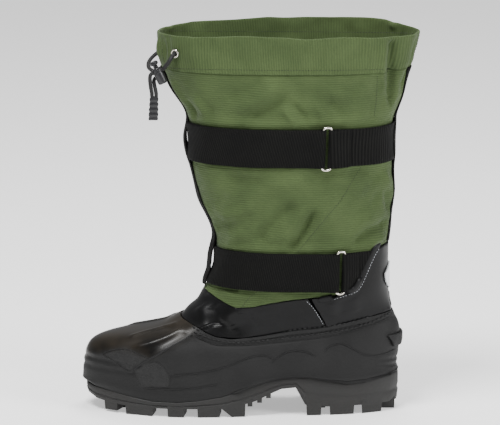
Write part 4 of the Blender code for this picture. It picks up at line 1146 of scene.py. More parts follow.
@dataclass
class Drawcord:
    """The drawcord with its barrel lock and its crimped end; its two eyelets are built with the fastenings.

    Attributes:
        diameter: the cord's diameter.
        lock_foot: the lower end of the barrel's axis.
        lock_top: a point further up the axis.
        lock_radius: the barrel's radius.
        lock_length: the barrel's length.
        end_top: the middle of the crimped end's top.
        end_size: the crimped end's width, depth and height.
    """

    diameter: float = 0.0040
    lock_foot: Point = (-0.0860, -0.0385, 0.3395)
    lock_top: Point = (-0.0935, -0.0370, 0.3550)
    lock_radius: float = 0.0050
    lock_length: float = 0.0170
    end_top: Point = (-0.0955, -0.0400, 0.3268)
    end_size: Point = (0.0100, 0.0056, 0.0240)

    OUTER_ROUTE = (
        (-0.0745, -0.0390, 0.3700), (-0.0757, -0.0406, 0.3699), (-0.0795, -0.0468, 0.3645),
        (-0.0820, -0.0452, 0.3605), (-0.0859, -0.0397, 0.3548), (-0.0875, -0.0390, 0.3540),
        (-0.0921, -0.0387, 0.3519), (-0.0967, -0.0384, 0.3499), (-0.0984, -0.0388, 0.3491),
        (-0.0993, -0.0389, 0.3475), (-0.0996, -0.0395, 0.3430), (-0.0988, -0.0399, 0.3360),
        (-0.0977, -0.0400, 0.3300), (-0.0977, -0.0400, 0.3288), (-0.0977, -0.0400, 0.3268),
    )
    INNER_ROUTE = (
        (-0.0745, 0.0390, 0.3700), (-0.0757, 0.0406, 0.3699), (-0.0830, 0.0440, 0.3635),
        (-0.0920, 0.0340, 0.3590), (-0.0995, 0.0170, 0.3550), (-0.1020, 0.0000, 0.3525),
        (-0.1005, -0.0150, 0.3505), (-0.0950, -0.0250, 0.3488), (-0.0888, -0.0306, 0.3468),
        (-0.0891, -0.0326, 0.3469), (-0.0905, -0.0350, 0.3462), (-0.0932, -0.0348, 0.3447),
        (-0.0946, -0.0336, 0.3439), (-0.0957, -0.0342, 0.3420), (-0.0953, -0.0355, 0.3380),
        (-0.0941, -0.0380, 0.3330), (-0.0934, -0.0400, 0.3295), (-0.0934, -0.0400, 0.3268),
    )

    def strand(self, name: str, route: tuple[Point, ...]) -> tuple[bpy.types.Object, float]:
        """Runs one cord along its route.

        Args:
            name: the cord's name.
            route: its points.

        Returns:
            The cord and its length.
        """
        points = smooth_places(route, self.diameter * 0.4)
        data = bpy.data.curves.new(name, "CURVE")
        data.dimensions = "3D"
        data.bevel_depth = self.diameter / 2
        data.bevel_resolution = 3
        data.use_fill_caps = True
        spline = data.splines.new("POLY")
        spline.points.add(len(points) - 1)
        for target, point in zip(spline.points, points):
            target.co = (*point, 1.0)
        cord = bpy.data.objects.new(name, data)
        bpy.context.scene.collection.objects.link(cord)
        length = sum(math.dist(a, b) for a, b in zip(points, points[1:]))
        return cord, length

    def turned(self, name: str, profile: Places, steps: int) -> bpy.types.Object:
        """Spins a profile about the barrel's axis.

        Args:
            name: the new piece's name.
            profile: pairs of radius and height, from the foot up; both ends lie on the axis.
            steps: the number of steps round it.

        Returns:
            The turned piece, in its place.
        """
        piece = new_mesh(name, [(radius, 0.0, height) for radius, height in profile], [])
        piece.data.edges.add(len(profile) - 1)
        for index, edge in enumerate(piece.data.edges):
            edge.vertices = (index, index + 1)
        select_only(piece)
        bpy.ops.object.mode_set(mode="EDIT")
        bpy.ops.mesh.select_all(action="SELECT")
        bpy.ops.mesh.spin(
            steps=steps, angle=2 * math.pi, center=(0.0, 0.0, 0.0), axis=(0.0, 0.0, 1.0), use_auto_merge=True
        )
        bpy.ops.mesh.select_all(action="SELECT")
        bpy.ops.mesh.remove_doubles(threshold=0.00001)
        bpy.ops.mesh.normals_make_consistent(inside=False)
        bpy.ops.object.mode_set(mode="OBJECT")
        way = Vector(self.lock_top) - Vector(self.lock_foot)
        turn = way.to_track_quat("Z", "Y").to_matrix().to_4x4()
        piece.data.transform(Matrix.Translation(Vector(self.lock_foot)) @ turn)
        soften(piece, 32.0)
        return piece

    def barrel(self) -> bpy.types.Object:
        """Builds the lock's barrel, neck and press button.

        Returns:
            The lock.
        """
        radius = self.lock_radius
        length = self.lock_length
        profile = (
            (0.0, 0.0), (radius * 0.62, 0.0), (radius * 0.80, 0.0003), (radius * 0.94, 0.0010),
            (radius, 0.0022), (radius, length - 0.0052), (radius * 0.93, length - 0.0048),
            (radius * 0.93, length - 0.0042), (radius, length - 0.0038), (radius, length - 0.0024),
            (radius * 0.92, length - 0.0020), (radius * 0.92, length - 0.0014),
            (radius * 0.98, length - 0.0010), (radius * 0.90, length - 0.0001), (0.0022, length),
            (0.0022, length + 0.0008), (0.0026, length + 0.0010), (0.0026, length + 0.0016),
            (0.0022, length + 0.0018), (0.0022, length + 0.0032), (0.0036, length + 0.0036),
            (0.0042, length + 0.0044), (0.0042, length + 0.0060), (0.0037, length + 0.0069),
            (0.0022, length + 0.0075), (0.0, length + 0.0075),
        )
        return self.turned("lock_barrel", profile, 28)

    def crimp(self) -> bpy.types.Object:
        """Builds the ribbed end that is crimped on both tails.

        Returns:
            The end piece.
        """
        width, depth, height = self.end_size
        bpy.ops.object.select_all(action="DESELECT")
        bpy.ops.mesh.primitive_cube_add(size=1.0)
        piece = bpy.context.active_object
        piece.name = "ribbed_cord_end"
        rows = coordinates(piece) * (width * 0.94, depth * 0.94, height)
        place_corners(piece, rows)
        select_only(piece)
        bpy.ops.object.mode_set(mode="EDIT")
        bpy.ops.mesh.select_all(action="SELECT")
        for share in range(1, 19):
            bpy.ops.mesh.select_all(action="SELECT")
            level = -height / 2 + height * share / 19
            bpy.ops.mesh.bisect(plane_co=(0.0, 0.0, level), plane_no=(0.0, 0.0, 1.0))
        bpy.ops.object.mode_set(mode="OBJECT")
        rows = coordinates(piece)
        levels = np.round((rows[:, 2] / height + 0.5) * 19).astype(int)
        inner = (levels > 0) & (levels < 19)
        swell = np.where(inner & (levels % 4 < 2), 1.06, 0.95)
        taper = 1.0 - 0.12 * (rows[:, 2] / height + 0.5)
        rows[:, 0] *= swell * taper
        rows[:, 1] *= swell * taper
        lean = -0.0010 * (0.5 - rows[:, 2] / height)
        rows[:, 0] += lean
        rows += np.array(self.end_top) - (0.0, 0.0, height / 2)
        place_corners(piece, rows)
        select_only(piece)
        bevel = piece.modifiers.new("edges", "BEVEL")
        bevel.width = 0.0006
        bevel.segments = 2
        bevel.angle_limit = math.radians(40)
        bpy.ops.object.modifier_apply(modifier=bevel.name)
        soften(piece, 40.0)
        return piece

    def build(self, cord_finish: bpy.types.Material, plastic: bpy.types.Material) -> None:
        """Builds both cords and the pieces on them.

        Args:
            cord_finish: the cords' material.
            plastic: the lock's and the end's material.
        """
        lock = settle(self.barrel(), plastic, ("cord_lock",))
        end = settle(self.crimp(), plastic, ("cord_end",))
        outer, outer_length = self.strand("outer_drawcord", self.OUTER_ROUTE)
        inner, inner_length = self.strand("inner_drawcord", self.INNER_ROUTE)
        settle(outer, cord_finish, ("drawcord_outer", "drawcord_tail_outer"))
        settle(inner, cord_finish, ("drawcord_inner", "drawcord_tail_inner"))
        LOG.info("drawcords: %.3f and %.3f m", outer_length, inner_length)


@dataclass
class RubberFoot:
    """The moulded shell with its ribs, grooves and moulded stitches, and the outsole.

    Attributes:
        rib_radius: the raised rib's half width.
        groove_radius: the panel lines' half width.
        levels: how often the shell is subdivided.
        plate_half: half the heel plate's width.
        plate_low: its lower edge.
        plate_high: its upper edge.
        plate_rise: how far it stands off the shell.
    """

    rib_radius: float = 0.0011
    groove_radius: float = 0.00030
    levels: int = 3
    plate_half: float = 0.0235
    plate_low: float = 0.0660
    plate_high: float = 0.0780
    plate_rise: float = 0.0012

    VAMP = (
        (140.0, 340.0), (152.0, 320.0), (196.0, 300.0), (262.0, 290.0), (272.0, 318.0),
        (266.7, 333.2), (246.9, 345.3), (229.1, 355.5), (224.0, 358.7), (213.8, 353.6),
        (198.5, 348.2), (181.9, 350.4), (176.1, 352.9), (160.0, 356.0),
    )
    UPPER_PATCH = (
        (176.1, 352.9), (181.9, 350.4), (189.5, 348.5), (198.5, 348.2), (206.1, 350.0),
        (213.8, 353.6), (224.0, 358.7), (218.9, 361.2), (211.2, 367.0), (205.5, 371.4),
        (197.2, 367.6), (188.3, 361.2), (177.4, 354.2), (176.1, 352.9),
    )
    LOWER_PATCH = (
        (206.8, 371.4), (216.0, 365.0), (225.3, 361.2), (231.6, 361.2), (236.7, 365.0),
        (241.2, 370.8), (243.8, 375.3), (244.4, 382.9), (242.5, 386.7), (229.0, 387.0),
        (216.3, 386.7), (212.5, 380.4), (208.0, 374.0), (206.8, 371.4),
    )
    RAISED_RIB = (
        (205.5, 371.4), (216.3, 362.5), (229.1, 355.5), (246.9, 345.3), (259.7, 338.3), (266.7, 333.2),
    )
    VAMP_RIDGES = (
        ((199.7, 337.0), (213.8, 332.5), (232.9, 327.4), (249.5, 323.0), (256.0, 321.0)),
        ((204.8, 347.8), (221.4, 343.4), (239.3, 337.0), (252.0, 330.0), (258.4, 325.5)),
    )
    PANEL_LINES = (
        ((243.8, 375.5), (258.4, 374.0), (277.6, 371.7), (292.9, 368.2), (308.2, 363.1),
         (322.2, 357.4), (333.7, 354.8), (342.6, 356.1), (349.0, 359.3)),
        ((344.1, 363.3), (351.7, 356.8), (362.5, 351.3), (373.4, 350.3), (384.2, 353.0), (390.7, 356.8)),
        ((397.2, 352.4), (403.8, 345.9), (413.5, 343.2), (421.1, 344.8), (432.0, 350.8),
         (439.5, 354.1), (449.3, 355.1), (461.2, 352.4), (469.9, 348.1)),
        ((216.3, 387.1), (239.3, 388.4), (264.8, 387.8), (285.2, 384.8), (294.1, 383.5)),
    )
    COLLAR_LINE = (
        (268.6, 334.4), (277.6, 339.5), (290.3, 344.0), (309.4, 344.6), (330.0, 343.8),
        (351.7, 341.6), (373.4, 339.4), (395.1, 336.7), (411.3, 334.0), (427.6, 329.7),
        (443.9, 324.8), (454.7, 321.0), (466.0, 315.0),
    )
    STITCH_ROWS = (
        ((266.5, 325.5), (271.2, 328.8), (283.9, 332.8), (296.7, 335.0), (314.5, 335.6), (333.3, 334.0),
         (351.7, 331.5), (373.4, 328.8), (399.4, 326.0), (416.8, 323.0), (438.5, 317.6), (452.6, 312.8),
         (463.0, 307.5)),
        ((267.5, 330.4), (272.4, 333.2), (285.2, 337.8), (296.7, 340.6), (309.4, 341.6), (328.6, 340.8),
         (357.1, 337.6), (378.8, 335.0), (400.5, 332.0), (422.2, 328.2), (434.1, 325.0), (449.3, 319.6),
         (464.0, 312.5)),
    )
    TOE_GROOVES = (
        ((-0.046, 0.050), (-0.024, 0.0525), (0.0, 0.053), (0.030, 0.0525), (0.050, 0.050)),
        ((-0.050, 0.0425), (-0.026, 0.0440), (0.0, 0.0445), (0.030, 0.0440), (0.054, 0.0425)),
    )
    HEEL_GROOVES = (
        ((-0.030, 0.0480), (-0.015, 0.0460), (0.0, 0.0455), (0.015, 0.0460), (0.030, 0.0480)),
        ((-0.030, 0.0535), (0.0, 0.0515), (0.030, 0.0535)),
    )

    def heel_plate(self, finish: bpy.types.Material) -> None:
        """Builds the raised plate across the back of the heel.

        Args:
            finish: its material.
        """
        surface = Surface("foot_shell")
        bpy.ops.object.select_all(action="DESELECT")
        bpy.ops.mesh.primitive_grid_add(x_subdivisions=32, y_subdivisions=8, size=2.0)
        piece = bpy.context.active_object
        piece.name = "heel_kick_plate"
        rows = coordinates(piece)
        for row in rows:
            height = self.plate_low + (self.plate_high - self.plate_low) * (row[1] + 1) / 2
            half = self.plate_half * (0.93 + 0.07 * row[1])
            point, normal = surface.cast((row[0] * half, height), Aim.BACK)
            row[:] = point + normal * self.plate_rise
        place_corners(piece, rows)
        select_only(piece)
        bpy.ops.object.mode_set(mode="EDIT")
        bpy.ops.mesh.select_all(action="SELECT")
        bpy.ops.mesh.normals_make_consistent(inside=False)
        bpy.ops.object.mode_set(mode="OBJECT")
        wall = piece.modifiers.new("wall", "SOLIDIFY")
        wall.thickness = self.plate_rise * 2
        wall.offset = 0.0
        bpy.ops.object.modifier_apply(modifier=wall.name)
        edge = piece.modifiers.new("edge", "BEVEL")
        edge.width = 0.0007
        edge.segments = 2
        edge.angle_limit = math.radians(50)
        bpy.ops.object.modifier_apply(modifier=edge.name)
        soften(piece, 40.0)
        settle(piece, finish)

    def shell(self, finish: bpy.types.Material) -> bpy.types.Object:
        """Builds the moulded shell.

        Args:
            finish: its material.

        Returns:
            The shell.
        """
        piece = clone_node("foot_shell", "moulded_foot", self.levels, sharp=50.0)
        surface = Surface("foot_shell")
        reliefs = [Relief(self.RAISED_RIB, 0.0010, 0.0030, BOTH, 0.006)]
        reliefs += [Relief(line, 0.0014, 0.0034, BOTH, 0.010) for line in self.VAMP_RIDGES]
        reliefs += [Relief(line, -0.0005, 0.0022, BOTH, 0.006) for line in self.PANEL_LINES]
        reliefs.append(Relief(self.COLLAR_LINE, -0.0006, 0.0018, BOTH, 0.004))
        reliefs += [Relief(line, -0.0012, 0.0020, (Aim.FRONT,), 0.012) for line in self.TOE_GROOVES]
        reliefs += [Relief(line, -0.0014, 0.0020, (Aim.BACK,), 0.008) for line in self.HEEL_GROOVES]
        press_reliefs(piece, surface, tuple(reliefs))
        rows = coordinates(piece)
        gloss = region(rows, self.VAMP, 5.0)
        patch = np.maximum(region(rows, self.UPPER_PATCH, 2.0), region(rows, self.LOWER_PATCH, 2.0))
        paint_mask(piece, "gloss", gloss)
        paint_mask(piece, "patch", patch)
        soften(piece, 50.0)
        return settle(piece, finish, ("foot_shell",))

    def trims(self, finish: bpy.types.Material, dark: bpy.types.Material) -> None:
        """Runs the ribs, the panel lines and the moulded stitches.

        Args:
            finish: the raised trims' material.
            dark: the panel lines' material, darker rubber whose beads are painted shade in the grooves.
        """
        surface = Surface("foot_shell")
        outlines = self.PANEL_LINES + (self.UPPER_PATCH, self.LOWER_PATCH, self.COLLAR_LINE)
        lines = [surface.trace(line, aim, 1.0) for line in outlines for aim in BOTH]
        # The panel lines are darker beads half sunk in the grooves: painted shade.
        settle(
            sweep("shell_panel_lines", lines, self.groove_radius, -0.00015), dark
        )
        ribs = [surface.trace(self.RAISED_RIB, aim, 1.5) for aim in BOTH]
        settle(sweep("shell_rib", ribs, self.rib_radius, 0.0005, 8, 0.7), finish)
        rows = [surface.trace(line, aim, 1.5) for line in self.STITCH_ROWS for aim in BOTH]
        thread = Thread(length=0.0040, pitch=0.0050, width=0.0018, rise=0.0005)
        settle(thread.sew("shell_moulded_stitches", rows), dark)

    def sole(self, finish: bpy.types.Material) -> None:
        """Dresses the outsole and the insole lies on it."""
        piece = clone_node("outsole", "lugged_outsole", 0)
        select_only(piece)
        bevel = piece.modifiers.new("edges", "BEVEL")
        bevel.width = 0.0006
        bevel.segments = 2
        bevel.limit_method = "ANGLE"
        bevel.angle_limit = math.radians(38)
        bevel.use_clamp_overlap = True
        bpy.ops.object.modifier_apply(modifier=bevel.name)
        soften(piece, 40.0)
        settle(piece, finish, ("outsole",))

    def build(self, rubber: bpy.types.Material, dark: bpy.types.Material, tread: bpy.types.Material) -> None:
        """Builds the whole rubber foot.

        Args:
            rubber: the shell's material.
            dark: the panel lines' material, darker rubber whose beads are painted shade in the grooves.
            tread: the outsole's material.
        """
        self.shell(rubber)
        self.heel_plate(rubber)
        self.trims(rubber, dark)
        self.sole(tread)


@dataclass
class LeatherAnkle:
    """The faux-leather cuff and heel counter with their creases and stitches.

    Attributes:
        levels: how often both are subdivided.
        edge_half: half the width of the counter's turned edge.
        edge_flat: the turned edge's height as a share of its width.
        edge_lift: how far its middle lies off what it covers.
    """

    levels: int = 3
    edge_half: float = 0.0034
    edge_flat: float = 0.30
    edge_lift: float = 0.0006

    CREASES = (
        Relief(((275.0, 303.0), (279.0, 317.0), (283.0, 328.0)), 0.0020, 0.0084, BOTH, 0.006),
        Relief(((287.0, 303.0), (290.0, 314.0), (290.0, 327.0)), -0.0017, 0.0084, BOTH, 0.006),
        Relief(((296.0, 324.0), (305.0, 314.0), (317.0, 309.5)), 0.0017, 0.0078, BOTH, 0.006),
        Relief(((306.0, 328.0), (320.0, 321.0), (334.0, 318.5)), -0.0013, 0.0076, BOTH, 0.006),
        Relief(((325.0, 320.0), (340.0, 314.0), (357.0, 310.5)), 0.0014, 0.0076, BOTH, 0.006),
        Relief(((350.0, 323.0), (366.0, 317.0), (380.0, 310.0)), -0.0010, 0.0070, BOTH, 0.006),
        Relief(((406.0, 300.0), (406.8, 308.0), (406.0, 317.0)), 0.0012, 0.0062, BOTH, 0.005),
        Relief(((416.0, 298.0), (417.0, 306.0), (418.0, 314.0)), -0.0010, 0.0062, BOTH, 0.005),
        Relief(((427.0, 296.0), (430.0, 304.0), (431.0, 312.0)), 0.0009, 0.0062, BOTH, 0.005),
        Relief(((-0.030, 0.118), (0.0, 0.112), (0.030, 0.118)), -0.0014, 0.0080, (Aim.FRONT,)),
        Relief(((-0.034, 0.106), (0.0, 0.101), (0.034, 0.106)), 0.0011, 0.0075, (Aim.FRONT,)),
    )
    CUFF_SEAM = ((380.6, 300.4), (386.4, 306.0), (392.4, 314.6), (397.2, 323.0))
    COUNTER_SEAM = (
        (453.2, 247.5), (447.8, 257.5), (442.0, 271.0), (436.6, 283.0), (430.6, 291.0),
        (419.5, 295.0), (407.0, 298.8),
    )
    COUNTER_EDGE = (
        (454.5, 243.0), (449.6, 247.0), (444.4, 256.5), (438.6, 269.0), (433.0, 281.5), (427.6, 289.0),
        (418.5, 292.8), (406.0, 296.6), (392.0, 299.8),
    )
    BACK_SEAM = ((0.0, 0.104), (0.0, 0.112), (0.0, 0.119))

    def build(self, leather: bpy.types.Material, grey: bpy.types.Material, black: bpy.types.Material) -> None:
        """Builds both leather pieces and their stitches.

        Args:
            leather: the leather's material.
            grey: the grey thread's material.
            black: the black thread's material.
        """
        surface = Surface("leather_cuff", "heel_counter")
        for node, name in (("leather_cuff", "leather_ankle"), ("heel_counter", "leather_counter")):
            piece = clone_node(node, name, self.levels, sharp=50.0)
            press_reliefs(piece, surface, self.CREASES)
            soften(piece, 50.0)
            settle(piece, leather, (node,))
        over = Surface("heel_counter", "lower_tab", "lower_strap", "shaft")
        edges = [over.trace(self.COUNTER_EDGE, aim, 1.5) for aim in BOTH]
        settle(
            sweep("counter_edge", edges, self.edge_half, self.edge_lift, 10, self.edge_flat), leather,
        )
        thread = Thread(length=0.0022, pitch=0.0030, width=0.0008, rise=0.0002)
        seams = [surface.trace(self.CUFF_SEAM, aim, 1.0) for aim in BOTH]
        seams += [surface.trace(self.COUNTER_SEAM, aim, 1.0) for aim in BOTH]
        settle(thread.sew("counter_stitches", seams), grey)
        back = [surface.trace(self.BACK_SEAM, Aim.BACK, 0.001)]
        settle(sweep("counter_back_seam", back, 0.0006, 0.0), black)


@dataclass
class NylonLeg:
    """The ribbed nylon shaft and its drawcord hem, with their folds and seams.

    Attributes:
        levels: how often both are subdivided.
        rim_foot: the height where the rim starts to wave.
        rim_depth: the distance from there to the rim.
        rim_wave: how far the rim rises and falls.
    """

    levels: int = 3
    rim_foot: float = 0.360
    rim_depth: float = 0.028
    rim_wave: float = 0.0020

    CREASES = (
        Relief(((371.6, 199.9), (356.3, 215.2), (339.5, 230.5), (330.3, 247.4)), -0.0046, 0.0062, BOTH),
        Relief(((382.4, 203.0), (370.1, 222.9), (350.2, 244.3)), 0.0036, 0.0056, BOTH),
        Relief(((391.0, 206.6), (378.7, 228.5), (366.5, 246.4), (359.9, 254.5)), -0.0044, 0.0046, BOTH),
        Relief(((404.0, 204.0), (392.0, 224.0), (380.0, 246.0)), 0.0022, 0.0060, BOTH),
        Relief(((462.4, 221.3), (446.6, 229.0), (435.9, 236.6), (424.7, 248.4)), -0.0046, 0.0056, BOTH),
        Relief(((464.4, 234.3), (450.6, 239.0), (438.9, 248.6)), 0.0030, 0.0046, BOTH),
        Relief(((452.0, 212.0), (438.0, 219.0), (426.0, 228.0)), 0.0024, 0.0056, BOTH),
        Relief(((313.0, 219.0), (300.0, 225.0), (288.0, 228.0)), -0.0030, 0.0050, BOTH),
        Relief(((334.0, 203.0), (314.0, 211.0), (292.0, 217.0)), 0.0026, 0.0054, BOTH),
        Relief(((324.0, 230.0), (308.0, 238.0), (300.0, 248.0)), 0.0026, 0.0056, BOTH),
        Relief(((306.0, 196.0), (290.0, 203.0), (278.0, 208.0)), -0.0020, 0.0060, BOTH),
        Relief(((273.0, 123.0), (266.0, 108.0), (259.8, 94.4)), -0.0044, 0.0042, BOTH),
        Relief(((283.0, 122.0), (275.0, 106.0), (266.0, 92.4)), 0.0030, 0.0046, BOTH),
        Relief(((293.0, 120.0), (286.0, 110.0), (282.0, 99.4)), -0.0020, 0.0040, BOTH),
        Relief(((306.0, 113.0), (333.0, 99.0), (358.0, 84.0)), 0.0030, 0.0066, BOTH),
        Relief(((318.0, 121.0), (345.0, 106.0), (366.0, 95.0)), -0.0030, 0.0056, BOTH),
        Relief(((298.0, 100.0), (320.0, 90.0), (344.0, 80.0)), -0.0022, 0.0064, BOTH),
        Relief(((352.0, 104.0), (362.0, 114.0), (373.0, 127.0)), 0.0034, 0.0036, BOTH),
        Relief(((362.0, 100.0), (374.0, 112.0), (385.0, 126.0)), -0.0030, 0.0040, BOTH),
        Relief(((386.0, 100.0), (394.0, 112.0), (403.0, 123.0)), 0.0028, 0.0038, BOTH),
        Relief(((398.0, 96.0), (408.0, 107.0), (420.0, 118.0)), -0.0022, 0.0044, BOTH),
        Relief(((397.0, 86.0), (412.0, 94.0), (428.0, 98.0)), 0.0018, 0.0056, BOTH),
        Relief(((296.0, 172.0), (318.0, 180.0), (344.0, 182.0)), -0.0024, 0.0076, BOTH),
        Relief(((340.0, 190.0), (362.0, 182.0), (384.0, 178.0)), 0.0020, 0.0070, BOTH),
        Relief(((398.0, 172.0), (420.0, 182.0), (444.0, 196.0)), 0.0026, 0.0074, BOTH),
        Relief(((420.0, 166.0), (440.0, 172.0), (458.0, 182.0)), -0.0022, 0.0064, BOTH),
        Relief(((460.0, 186.0), (450.0, 200.0), (446.0, 214.0)), -0.0026, 0.0060, BOTH),
        Relief(((290.5, 282.6), (301.2, 287.1), (316.0, 287.6)), -0.0022, 0.0030, BOTH, 0.008),
        Relief(((294.5, 290.6), (309.2, 295.1), (334.0, 295.6)), 0.0018, 0.0038, BOTH, 0.010),
        Relief(((350.0, 288.0), (370.0, 292.0), (392.0, 291.0)), -0.0014, 0.0034, BOTH, 0.008),
        Relief(((469.0, 36.0), (466.8, 60.0), (466.0, 79.0), (466.5, 106.0)), -0.0060, 0.0046, (Aim.OUTER,), 0.010),
        Relief(((459.0, 36.0), (457.0, 60.0), (457.0, 79.0), (459.0, 97.0)), 0.0030, 0.0052),
        Relief(((470.0, 34.0), (466.8, 60.0), (466.0, 79.0), (467.5, 97.0)), -0.0045, 0.0048, (Aim.INNER,)),
        Relief(((268.0, 32.0), (265.0, 50.0), (268.0, 68.0)), 0.0018, 0.0064, BOTH),
        Relief(((330.0, 36.0), (334.0, 50.0), (330.0, 68.0)), -0.0014, 0.0090, BOTH),
        Relief(((400.0, 36.0), (398.0, 50.0), (402.0, 68.0)), 0.0016, 0.0090, BOTH),
        Relief(((432.0, 34.0), (436.0, 50.0), (434.0, 68.0)), -0.0018, 0.0070, BOTH),
        Relief(((242.0, 32.0), (242.5, 48.0), (244.0, 62.0)), -0.0024, 0.0028, BOTH),
        Relief(((0.016, 0.394), (0.018, 0.350), (0.014, 0.320)), -0.0046, 0.0046, (Aim.BACK,)),
        Relief(((-0.016, 0.394), (-0.014, 0.355), (-0.018, 0.325)), -0.0036, 0.0046, (Aim.BACK,)),
        Relief(((0.030, 0.394), (0.033, 0.345), (0.028, 0.310)), 0.0032, 0.0050, (Aim.BACK,)),
        Relief(((0.028, 0.246), (0.022, 0.228), (0.012, 0.212)), -0.0038, 0.0054, (Aim.BACK,)),
        Relief(((-0.028, 0.234), (-0.020, 0.214), (-0.012, 0.200)), -0.0038, 0.0054, (Aim.BACK,)),
        Relief(((-0.030, 0.252), (-0.022, 0.236), (-0.014, 0.228)), 0.0028, 0.0050, (Aim.BACK,)),
        Relief(((0.030, 0.208), (0.020, 0.196), (0.012, 0.186)), 0.0028, 0.0050, (Aim.BACK,)),
        Relief(((-0.026, 0.390), (-0.024, 0.372), (-0.025, 0.356)), -0.0034, 0.0040, (Aim.FRONT,)),
        Relief(((-0.012, 0.391), (-0.013, 0.372), (-0.010, 0.356)), 0.0028, 0.0040, (Aim.FRONT,)),
        Relief(((0.004, 0.391), (0.003, 0.372), (0.005, 0.356)), -0.0034, 0.0040, (Aim.FRONT,)),
        Relief(((0.020, 0.391), (0.021, 0.372), (0.018, 0.356)), 0.0028, 0.0040, (Aim.FRONT,)),
        Relief(((-0.022, 0.345), (-0.020, 0.330), (-0.024, 0.312)), 0.0024, 0.0046, (Aim.FRONT,)),
        Relief(((0.022, 0.345), (0.020, 0.330), (0.024, 0.312)), -0.0024, 0.0046, (Aim.FRONT,)),
    )
    PUFFS = (
        Relief(((262.0, 117.0), (300.0, 121.5), (350.0, 124.0), (400.0, 121.5), (446.0, 115.5)), 0.0020, 0.0040, BOTH),
        Relief(((276.0, 167.5), (320.0, 171.0), (360.0, 170.5), (410.0, 166.5), (452.0, 160.5)), 0.0018, 0.0044, BOTH),
        Relief(((292.0, 246.0), (330.0, 249.0), (380.0, 249.0), (424.0, 246.5)), 0.0018, 0.0040, BOTH),
    )
    HEM_SEAM = (
        (244.0, 66.6), (250.0, 67.6), (282.6, 68.6), (317.0, 69.2), (350.2, 69.6), (384.0, 69.6),
        (417.8, 69.4), (440.0, 69.0), (463.0, 68.6),
    )
    BACK_PANEL_SEAM = ((451.6, 74.4), (450.8, 96.0), (448.2, 117.0))
    DIAGONAL_SEAM = (
        (437.0, 163.3), (426.3, 180.6), (416.0, 198.0), (400.7, 216.7), (385.4, 235.1), (371.1, 252.5),
    )
    LOW_SEAM = ((331.8, 290.4), (322.7, 297.9), (316.5, 306.0))
    FRONT_HEM_SEAM = ((236.0, 33.5), (237.0, 53.8), (239.4, 64.0))
    BACK_HEM_SEAM = ((0.0, 0.389), (0.0, 0.372), (0.0, 0.356))

    def wave_rim(self, piece: bpy.types.Object) -> None:
        """Lets the rim rise and fall a little, as slack cloth does.

        Args:
            piece: the hem.
        """
        rows = coordinates(piece)
        turn = np.arctan2(-rows[:, 1], -(rows[:, 0] - Wrap.RIM_AXIS))
        share = np.clip((rows[:, 2] - self.rim_foot) / self.rim_depth, 0.0, 1.0)
        wave = np.sin(2 * turn + 0.6) * 0.5 + np.sin(5 * turn + 2.0) * 0.3 + np.sin(9 * turn) * 0.2
        rows[:, 2] += share * share * wave * self.rim_wave
        place_corners(piece, rows)

    def cloth(self, node: str, name: str, wrap: Wrap, surface: Surface, finish: bpy.types.Material) -> None:
        """Builds one piece of the leg.

        Args:
            node: the CAD node.
            name: the new piece's name.
            wrap: the map to lay on it.
            surface: what its folds are cast onto.
            finish: its material.
        """
        piece = clone_node(node, name, self.levels, sharp=55.0)
        wrap.lay(piece)
        press_reliefs(piece, surface, self.CREASES + self.PUFFS)
        ruffle(piece, 0.0022, 0.030, 3.0)
        ruffle(piece, 0.0008, 0.011, 8.0)
        self.wave_rim(piece)
        soften(piece, 55.0)
        settle(piece, finish, (node,))

    def build(
        self, wrap: Wrap, shaft: bpy.types.Material, hem: bpy.types.Material, thread: bpy.types.Material
    ) -> None:
        """Builds the shaft, the hem and their seams.

        Args:
            wrap: the map to lay on them.
            shaft: the shaft's material.
            hem: the hem's material.
            thread: the seams' material.
        """
        surface = Surface("shaft", "collar_hem")
        self.cloth("shaft", "nylon_shaft", wrap, surface, shaft)
        self.cloth("collar_hem", "nylon_hem", wrap, surface, hem)
        dressed = Surface.__new__(Surface)
        corners = []
        faces = []
        for name in ("nylon_shaft", "nylon_hem"):
            mesh = bpy.data.objects[name].data
            start = len(corners)
            corners += [vertex.co.copy() for vertex in mesh.vertices]
            faces += [[start + i for i in face.vertices] for face in mesh.polygons]
        dressed.tree = BVHTree.FromPolygons(corners, faces)
        lines = (self.HEM_SEAM, self.BACK_PANEL_SEAM, self.DIAGONAL_SEAM, self.LOW_SEAM, self.FRONT_HEM_SEAM)
        rows = [dressed.trace(line, aim, 1.0) for line in lines for aim in BOTH]
        rows.append(dressed.trace(self.BACK_HEM_SEAM, Aim.BACK, 0.001))
        stitch = Thread(length=0.0022, pitch=0.0029, width=0.0006, rise=0.0)
        settle(stitch.sew("nylon_stitches", rows), thread)


